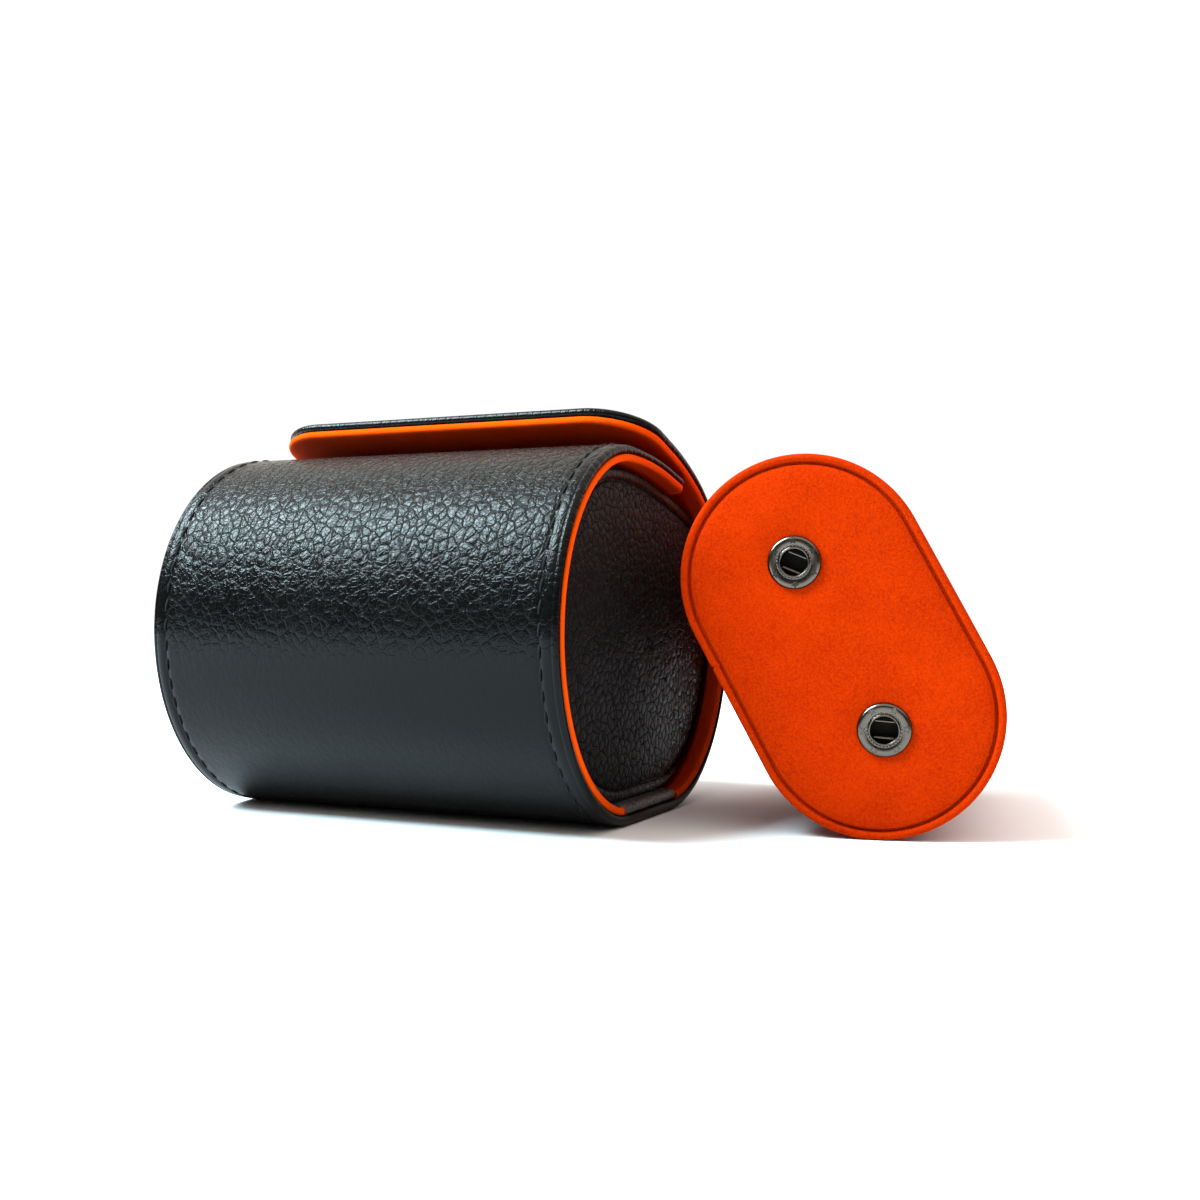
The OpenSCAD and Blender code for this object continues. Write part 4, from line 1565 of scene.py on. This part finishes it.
@dataclass
class SnapSocket:
    """Cap of a press stud: a spun plate with a rolled rim, six raised stars, a ring of
    beads and the bright lip of the hole, on a barrel that goes through the pillow's cap
    and is closed by a cup coloured near black as painted shade inside the hole."""

    finishes: Finishes
    outer_r: float = 4.9
    hole_r: float = 2.45
    height: float = 1.1
    rim_r: float = 0.75
    lip_r: float = 0.2
    barrel_l: float = 4.5
    barrel_t: float = 0.45
    segments: int = 72
    cup_at: float = 3.4
    cup_t: float = 0.25
    star_count: int = 6
    star_tips: int = 5
    star_r: float = 0.78
    star_waist: float = 0.45
    star_place_r: float = 3.97
    star_h: float = 0.16
    bead_count: int = 30
    bead_r: float = 0.19
    bead_place_r: float = 3.06

    def section(self) -> list[tuple[float, float]]:
        """Closed section of the socket, as radius and height."""
        h, r, hole = self.height, self.outer_r, self.hole_r
        rim_r, lip_r, barrel_r = self.rim_r, self.lip_r, self.hole_r + self.barrel_t
        rim = [
            (r - rim_r + rim_r * math.sin(a), h - 0.9 + rim_r * math.cos(a))
            for a in QUARTER_TURN
        ]
        lip = [
            (hole + lip_r + lip_r * math.cos(a), h - lip_r + lip_r * math.sin(a))
            for a in (math.radians(d) for d in range(180, -1, -30))
        ]
        return [
            *lip, (hole + 0.5, h - 0.26), (hole + 0.85, h - 0.2), (r - 1.3, h - 0.15), *rim,
            (r, 0.05), (r - 0.15, -0.05), (barrel_r, -0.05), (barrel_r, -self.barrel_l),
            (hole, -self.barrel_l), (hole, -self.barrel_l / 2),
        ]

    def plate(self) -> Piece:
        """Spins the section: a torus whose small circle takes the section's points."""
        section = np.array(self.section())
        select_only()
        bpy.ops.mesh.primitive_torus_add(
            major_segments=self.segments, minor_segments=len(section), major_radius=3 * MM,
            minor_radius=MM,
        )
        obj = bpy.context.object
        index = np.arange(len(obj.data.vertices))
        turn = 2 * math.pi * (index // len(section)) / self.segments
        r, z = section[index % len(section)].T
        place_vertices(obj, np.stack([r * np.cos(turn), r * np.sin(turn), z], -1))
        return close_up(obj, 50.0)

    def star(self, turn: float) -> Piece:
        """Raises one five-pointed star on the plate."""
        corners = np.arange(2 * self.star_tips)
        spikes = np.radians(corners * 180 / self.star_tips)
        radii = np.where(corners % 2 == 0, self.star_r, self.star_r * self.star_waist)
        foot, top = self.height - 0.1, self.height + self.star_h - 0.15
        rings = []
        for share, z in ((1.0, self.height - 0.5), (1.0, foot), (0.82, top)):
            x = self.star_place_r + radii * share * np.cos(spikes)
            y = radii * share * np.sin(spikes)
            rings.append(np.stack([*turned(x, y, turn), np.full(len(x), z)], -1))
        return close_up(loft("star", rings), 20.0)

    def bead(self, turn: float) -> Piece:
        """Sets one bead of the ring."""
        select_only()
        place = Vector((math.cos(turn), math.sin(turn), 0)) * self.bead_place_r
        bpy.ops.mesh.primitive_ico_sphere_add(
            subdivisions=2, radius=self.bead_r * MM,
            location=(place + Vector((0, 0, self.height - 0.2))) * MM,
        )
        bpy.ops.object.transform_apply(location=True)
        bpy.ops.object.shade_smooth()
        return bpy.context.object

    def cup(self) -> Piece:
        """Closes the far end of the barrel with a shallow pressed cup."""
        turns = np.linspace(0, 2 * math.pi, 49)[:-1]
        wall_r = self.hole_r + self.cup_t
        section = (
            (self.hole_r + 0.1, 0.5), (wall_r, 0.3), (wall_r, -0.1), (self.hole_r, -0.2),
            (0.6, -0.2), (0.3, 0.1),
        )
        rings = []
        for r, z in section:
            height = np.full(len(turns), z - self.cup_at)
            rings.append(np.stack([r * np.cos(turns), r * np.sin(turns), height], -1))
        return loft("cup", rings)

    def model(self) -> Piece:
        """Models one socket, its face towards +Z.

        Returns:
            The socket, at the origin.
        """
        parts = [
            make(2 * math.pi * i / count)
            for make, count in ((self.star, self.star_count), (self.bead, self.bead_count))
            for i in range(count)
        ]
        bright = [dress(part, self.finishes.gunmetal) for part in (self.plate(), *parts)]
        # The cup takes the near-black metal: painted shade deep in the hole.
        return join("snap_socket", [*bright, dress(self.cup(), self.finishes.hole_shade_metal)])


@dataclass
class Pillow:
    """Padded pillow: a foam core in a suede cover between two stiff suede-covered caps,
    with two snap sockets in each cap."""

    finishes: Finishes
    length: float = 70.0
    tall: float = 73.0
    wide: float = 45.0
    yaw_deg: float = 11.5
    lean_deg: float = 28.0
    cap_t: float = 4.0
    rim_w: float = 1.7
    rim_r: float = 0.75
    groove_d: float = 1.1
    crown: float = 0.5
    snap_pitch: float = 34.0
    bore_r: float = 3.0
    star_turns: tuple[float, float] = (5.0, 35.0)
    press_r: float = 4.9
    press_w: float = 1.8
    butt_at: float = 7.0
    butt_w: float = 0.3
    butt_d: float = 0.25
    butt_lines: tuple[float, ...] = (-0.35, -0.12, 0.12, 0.35)
    cover_inset: float = 1.1
    cover_tuck: float = 0.1
    fill: float = 0.9
    voxel_mm: float = 2.4
    swell_mm: float = 1.1
    pressure: float = 4.0
    steps: int = 20
    seam_deg: float = 196.0
    seam_d: float = 0.45
    seam_w: float = 0.9
    seam_reach: float = 6.0

    @property
    def straight(self) -> float:
        """Half the length of the outline's straight sides."""
        return (self.tall - self.wide) / 2

    def matrix(self) -> Matrix:
        """Place of the pillow's own frame: X across its end, Z its long way, Y its axis."""
        yaw = Euler((0, 0, math.radians(self.yaw_deg))).to_matrix()
        turn = yaw @ Euler((0, -math.radians(self.lean_deg), 0)).to_matrix()
        low, high = (Vector(corner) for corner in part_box("pillow_cover"))
        origin = (low + high) / 2 / MM - turn @ Vector((0, self.length / 2, 0))
        return Matrix.Translation(origin) @ turn.to_4x4()

    def settle(self, obj: Piece) -> Piece:
        """Moves a piece's mesh from the pillow's own frame to its place."""
        points = vertex_points(obj)
        matrix = np.array(self.matrix())
        place_vertices(obj, points @ matrix[:3, :3].T + matrix[:3, 3])
        return obj

    def ring(self, inset: float, y: float) -> Array:
        """Outline of the pillow's end, drawn in by an inset, at a place along its axis."""
        r, side = self.wide / 2 - inset, self.straight
        marks = [k * (self.butt_at + d) for k in (-1, 1) for d in self.butt_lines]
        heights = np.sort(np.concatenate([np.linspace(-side, side, 16)[1:-1], marks]))
        arc = np.linspace(0, math.pi, 49)
        top = np.stack([r * np.cos(arc), side + r * np.sin(arc)], -1)
        left = np.stack([np.full(len(heights), -r), heights[::-1]], -1)
        outline = np.concatenate([top, left, -top, -left])
        return np.stack([outline[:, 0], np.full(len(outline), y), outline[:, 1]], -1)

    def cap(self, name: str, back: bool) -> Piece:
        """Makes one cap: a rim strip round a stiffened face, with the groove between them.

        Args:
            name: Name of the piece.
            back: True for the cap at the far end.

        Returns:
            The cap, bored for its sockets.
        """
        foot = self.cap_t
        deep, bend = self.groove_d, self.groove_d * 0.6
        edge = [(1.6, foot), (0.5, foot), (0.1, foot - 0.25), (0.0, foot - 0.7)]
        groove = (
            (-0.6, 0.02), (-0.35, 0.16), (-0.22, bend), (-0.1, deep), (0.15, deep),
            (0.28, bend), (0.45, 0.2), (0.8, 0.03), (1.6, -self.crown * 0.3),
        )
        profile = [
            *edge, *rim_steps(self.rim_r, 0.0),
            *((self.rim_w + inset, depth) for inset, depth in groove),
            *((inset, -self.crown * self.rise_share(inset)) for inset in range(5, 22, 2)),
            (self.wide / 2 - 0.001, -self.crown),
        ]
        rings = [self.ring(inset, self.length - y if back else y) for inset, y in profile]
        obj = loft(name, rings, pinched=True)
        end = self.length if back else 0.0
        centres = [Vector((0, end, k * self.snap_pitch / 2)) for k in (1, -1)]
        cut_holes(obj, centres, Vector((0, 1, 0)), self.bore_r, 3 * self.cap_t)
        self.dent(obj, back)
        close_up(obj, 35.0)
        return dress(self.settle(obj), self.finishes.suede)

    @staticmethod
    def rise_share(inset: float) -> float:
        """Share of the face's crown reached at an inset from the cap's edge."""
        return 1 - (max(13 - inset, 0) / 11) ** 3

    def dent(self, obj: Piece, back: bool) -> None:
        """Presses the suede down where the sockets are clenched on it, and where the ends
        of the rim strip butt together.

        Args:
            obj: The cap, in the pillow's own frame.
            back: True for the cap at the far end.
        """
        points = vertex_points(obj)
        out = self.length - points[:, 1] if back else points[:, 1]
        for k in (1, -1):
            away = np.hypot(points[:, 0], points[:, 2] - k * self.snap_pitch / 2)
            press = bell(np.maximum(away - self.press_r, 0), self.press_w)
            out = np.where(out < 0, out * (1 - press), out)
        on_rim = points[:, 0] < self.rim_w + 0.1 - self.wide / 2
        butt = on_rim & (np.abs(points[:, 2] - self.butt_at) < self.butt_w / 2)
        points[:, 0] += np.where(butt, self.butt_d * ramp(out, self.cap_t, -self.cap_t), 0)
        out = np.where(butt, np.maximum(out, self.butt_d), out)
        points[:, 1] = self.length - out if back else out
        place_vertices(obj, points)

    def cushion(self) -> Piece:
        """Makes the stuffed cover between the caps: an inflated form that draws in at them.

        Returns:
            The cover.
        """
        low = self.cap_t - self.cover_tuck
        rings = [
            self.ring(self.cover_inset, y) for y in np.linspace(low, self.length - low, 26)
        ]
        obj = loft("pillow_cover_suede", rings)
        self.inflate(obj)
        apply_modifier(obj, "SUBSURF", levels=1, render_levels=1)
        self.sew_seam(obj)
        close_up(obj, 60.0)
        return dress(self.settle(obj), self.finishes.suede)

    def swell(self, obj: Piece) -> None:
        points = vertex_points(obj)
        share = self.crown_share(points)
        points[:, [0, 2]] *= (1 + share * self.swell_mm / (self.wide / 2))[:, None]
        place_vertices(obj, points)

    def crown_share(self, points: Array) -> Array:
        """Share of the swell allowed at each point: none at the caps, all in the middle."""
        t = ramp(points[:, 1], self.cap_t, self.length - 2 * self.cap_t)
        return np.clip(4 * t * (1 - t), 0, 1) ** 0.5

    def inflate(self, obj: Piece) -> None:
        """Inflates the cover as cloth, and keeps it within its swell of the foam.

        Args:
            obj: Cover, still plain.
        """
        apply_modifier(obj, "REMESH", mode="VOXEL", voxel_size=self.voxel_mm * MM)
        rest = vertex_points(obj)
        cloth = obj.modifiers.new("Cloth", "CLOTH")
        cloth.settings.use_pressure = True
        cloth.settings.uniform_pressure_force = self.pressure
        cloth.settings.effector_weights.gravity = 0.0
        cloth.settings.quality = 4
        scene = bpy.context.scene
        for step in range(1, self.steps + 1):
            scene.frame_set(step)
        select_only(obj)
        bpy.ops.object.modifier_apply(modifier=cloth.name)
        scene.frame_set(1)
        moved = vertex_points(obj) - rest
        reach = np.linalg.norm(moved, axis=1)
        limit = self.swell_mm * self.crown_share(rest)
        moved *= np.minimum(1, limit / np.maximum(reach, 1e-6))[:, None]
        points = rest + moved
        low = self.cap_t - self.cover_tuck
        points[:, 1] = np.clip(points[:, 1], low, self.length - low)
        place_vertices(obj, points)

    def sew_seam(self, obj: Piece) -> None:
        """Draws in the cover where its ends are sewn together along the pillow."""
        points = vertex_points(obj)
        angle = math.radians(self.seam_deg)
        down = np.array([math.sin(angle), math.cos(angle)])
        spot = down * self.wide / 2 + [0, math.copysign(self.straight, down[1])]
        x, z = points[:, 0] - spot[0], points[:, 2] - spot[1]
        depth = self.seam_d * bell(x * down[1] - z * down[0], self.seam_w)
        pull = np.where(np.hypot(x, z) < self.seam_reach, depth, 0)
        points[:, [0, 2]] -= pull[:, None] * down
        place_vertices(obj, points)

    def sockets(self) -> Piece:
        """Sets a socket in each bore of both caps.

        Returns:
            The four sockets as one piece.
        """
        model = SnapSocket(self.finishes).model()
        shape = vertex_points(model)
        copies = []
        for back in (False, True):
            for k, star_turn in zip((1, -1), self.star_turns):
                copy = copy_of(model)
                x, z = turned(shape[:, 0], shape[:, 1], math.radians(star_turn))
                y = self.length + shape[:, 2] if back else -shape[:, 2]
                place_vertices(copy, np.stack([x, y, z + k * self.snap_pitch / 2], -1))
                if back:
                    copy.data.flip_normals()
                copies.append(copy)
        bpy.data.objects.remove(model)
        return self.settle(join("pillow_snap_sockets", copies))

    def build(self) -> list[Piece]:
        """Builds the pillow.

        Returns:
            Its pieces, riding on the pillow.
        """
        cover = self.cushion()
        front, back = self.cap("pillow_front_cap", False), self.cap("pillow_back_cap", True)
        sockets = self.sockets()
        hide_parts("pillow_cover", "pillow_core")
        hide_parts("pillow_front_rim", "pillow_front_face", "pillow_front_board")
        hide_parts("pillow_back_rim", "pillow_back_face", "pillow_back_board")
        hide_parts("snap_sockets")
        for piece in (cover, front, back, sockets):
            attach(piece, "pillow")
        return [cover, front, back, sockets]


@dataclass
class Fittings:
    """Pieces that keep the shape the frame gives them and only take a finish."""

    finishes: Finishes

    def build(self) -> list[Piece]:
        """Dresses every frame piece.

        Returns:
            The pieces that stay in view or inside the roll.
        """
        endings = {
            self.finishes.gunmetal: ("studs", "springs", "sockets"),
            self.finishes.steel: ("rivets", "magnets", "keepers", "washers"),
            self.finishes.board: ("board",),
            self.finishes.foam: ("core",),
            self.finishes.suede: ("lining", "cover"),
        }
        words = {word: finish for finish, group in endings.items() for word in group}
        for name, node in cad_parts.items():
            dress(node, words.get(name.split("_")[-1], self.finishes.panel))
        return [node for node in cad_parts.values() if not node.hide_render]


@dataclass
class Studio:
    """White paper floor, a large window light in bright surroundings, and the camera."""

    lens_mm: float = 40.09
    camera_at: tuple[float, float, float] = (147.74, -245.88, 41.99)
    camera_yaw_deg: float = 25.06
    camera_pitch_deg: float = 0.254
    clip_m: tuple[float, float] = (0.01, 50.0)
    floor_half_mm: float = 6000.0
    floor_z: float = -0.02
    aim: tuple[float, float, float] = (0.0, 0.0, 40.0)
    sky: float = 2.0
    backdrop: float = 1.05

    def floor(self) -> None:
        """Lays the floor."""
        select_only()
        bpy.ops.mesh.primitive_plane_add(
            size=2 * self.floor_half_mm * MM, location=(0, 0, self.floor_z * MM)
        )
        plane = new_object(bpy.context.object, "floor")
        dress(plane, StudioFloor("White seamless paper").material())

    def light(
        self, name: str, at: tuple[float, float, float], size: tuple[float, float],
        watts: float, colour: str,
    ) -> None:
        """Hangs a soft box that faces the roll, its width along the roll.

        Args:
            name: Name of the lamp.
            at: Its place, in millimetres.
            size: Its width and height, in millimetres.
            watts: Its power.
            colour: Its colour.
        """
        data = bpy.data.lights.new(name, "AREA")
        data.shape = "RECTANGLE"
        data.size, data.size_y = size[0] * MM, size[1] * MM
        data.energy = watts
        data.color = linear(colour)[:3]
        lamp = bpy.data.objects.new(name, data)
        bpy.context.collection.objects.link(lamp)
        lamp.location = Vector(at) * MM
        back = (lamp.location - Vector(self.aim) * MM).normalized()
        across = (Vector((1.0, 0.0, 0.0)) - back * back.x).normalized()
        turn = Matrix((across, back.cross(across), back)).transposed()
        lamp.rotation_euler = turn.to_euler()

    def surroundings(self) -> None:
        """Makes the white surroundings: bright above and behind the roll, dim in front of
        it, and plain white where the camera looks past the floor."""
        world = bpy.data.worlds.new("White studio")
        bpy.context.scene.world = world
        world.use_nodes = True
        tree = world.node_tree
        tree.nodes.clear()
        add = partial(add_node, tree)
        way = add("TexCoord", {}).outputs["Generated"]
        parts = add("SeparateXYZ", {"Vector": way})
        above = add(
            "MapRange",
            {"Value": parts.outputs["Z"], "From Min": 0.3, "From Max": 0.7},
            interpolation_type="SMOOTHSTEP",
        )
        behind = add(
            "MapRange",
            {"Value": parts.outputs["Y"], "From Min": -0.3, "From Max": 0.6, "To Max": 0.6},
            interpolation_type="SMOOTHSTEP",
        )
        share = add("Math", {0: above, 1: behind}, operation="MAXIMUM")
        glow = add(
            "Mix", {"Factor": share, 6: linear("#3c3a3a"), 7: linear("#fff8ee")},
            data_type="RGBA",
        )
        seen = add("LightPath", {}).outputs["Is Camera Ray"]
        light = add("Background", {"Color": glow.outputs[2], "Strength": self.sky})
        white = add("Background", {"Color": (1, 1, 1, 1), "Strength": self.backdrop})
        mixed = add("MixShader", {0: seen, 1: light, 2: white})
        add("OutputWorld", {"Surface": mixed})

    def camera(self) -> None:
        """Sets the camera where the photograph was taken from."""
        data = bpy.data.cameras.new("camera")
        data.lens = self.lens_mm
        data.clip_start, data.clip_end = self.clip_m
        obj = bpy.data.objects.new("camera", data)
        bpy.context.collection.objects.link(obj)
        obj.location = Vector(self.camera_at) * MM
        tilt = math.radians(90 + self.camera_pitch_deg)
        obj.rotation_euler = (tilt, 0.0, math.radians(self.camera_yaw_deg))
        bpy.context.scene.camera = obj

    def build(self) -> None:
        """Sets the studio up."""
        bpy.context.scene.view_settings.view_transform = "Standard"
        self.floor()
        self.surroundings()
        self.light("window", (-520, -370, 800), (620, 480), 49.0, "#d9f6ff")
        self.camera()


def main() -> None:
    """Builds the roll and its studio."""
    logging.basicConfig(level=logging.INFO, format="%(name)s: %(message)s")
    Studio().build()
    finishes = Finishes.build()
    low, high = (np.array(corner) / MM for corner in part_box("case_leather"))
    shape = RollShape(width=float(high[1] - low[1]))
    half_length = float(high[0])
    pieces = Wrap(finishes, shape, half_length).build()
    for side in Side:
        pieces += EndPanel(finishes, shape, half_length, side).build()
    pieces += Pillow(finishes).build()
    pieces += Fittings(finishes).build()
    for piece in pieces:
        log.info("%s: %d faces", piece.name, len(piece.data.polygons))


if __name__ == "__main__":
    main()
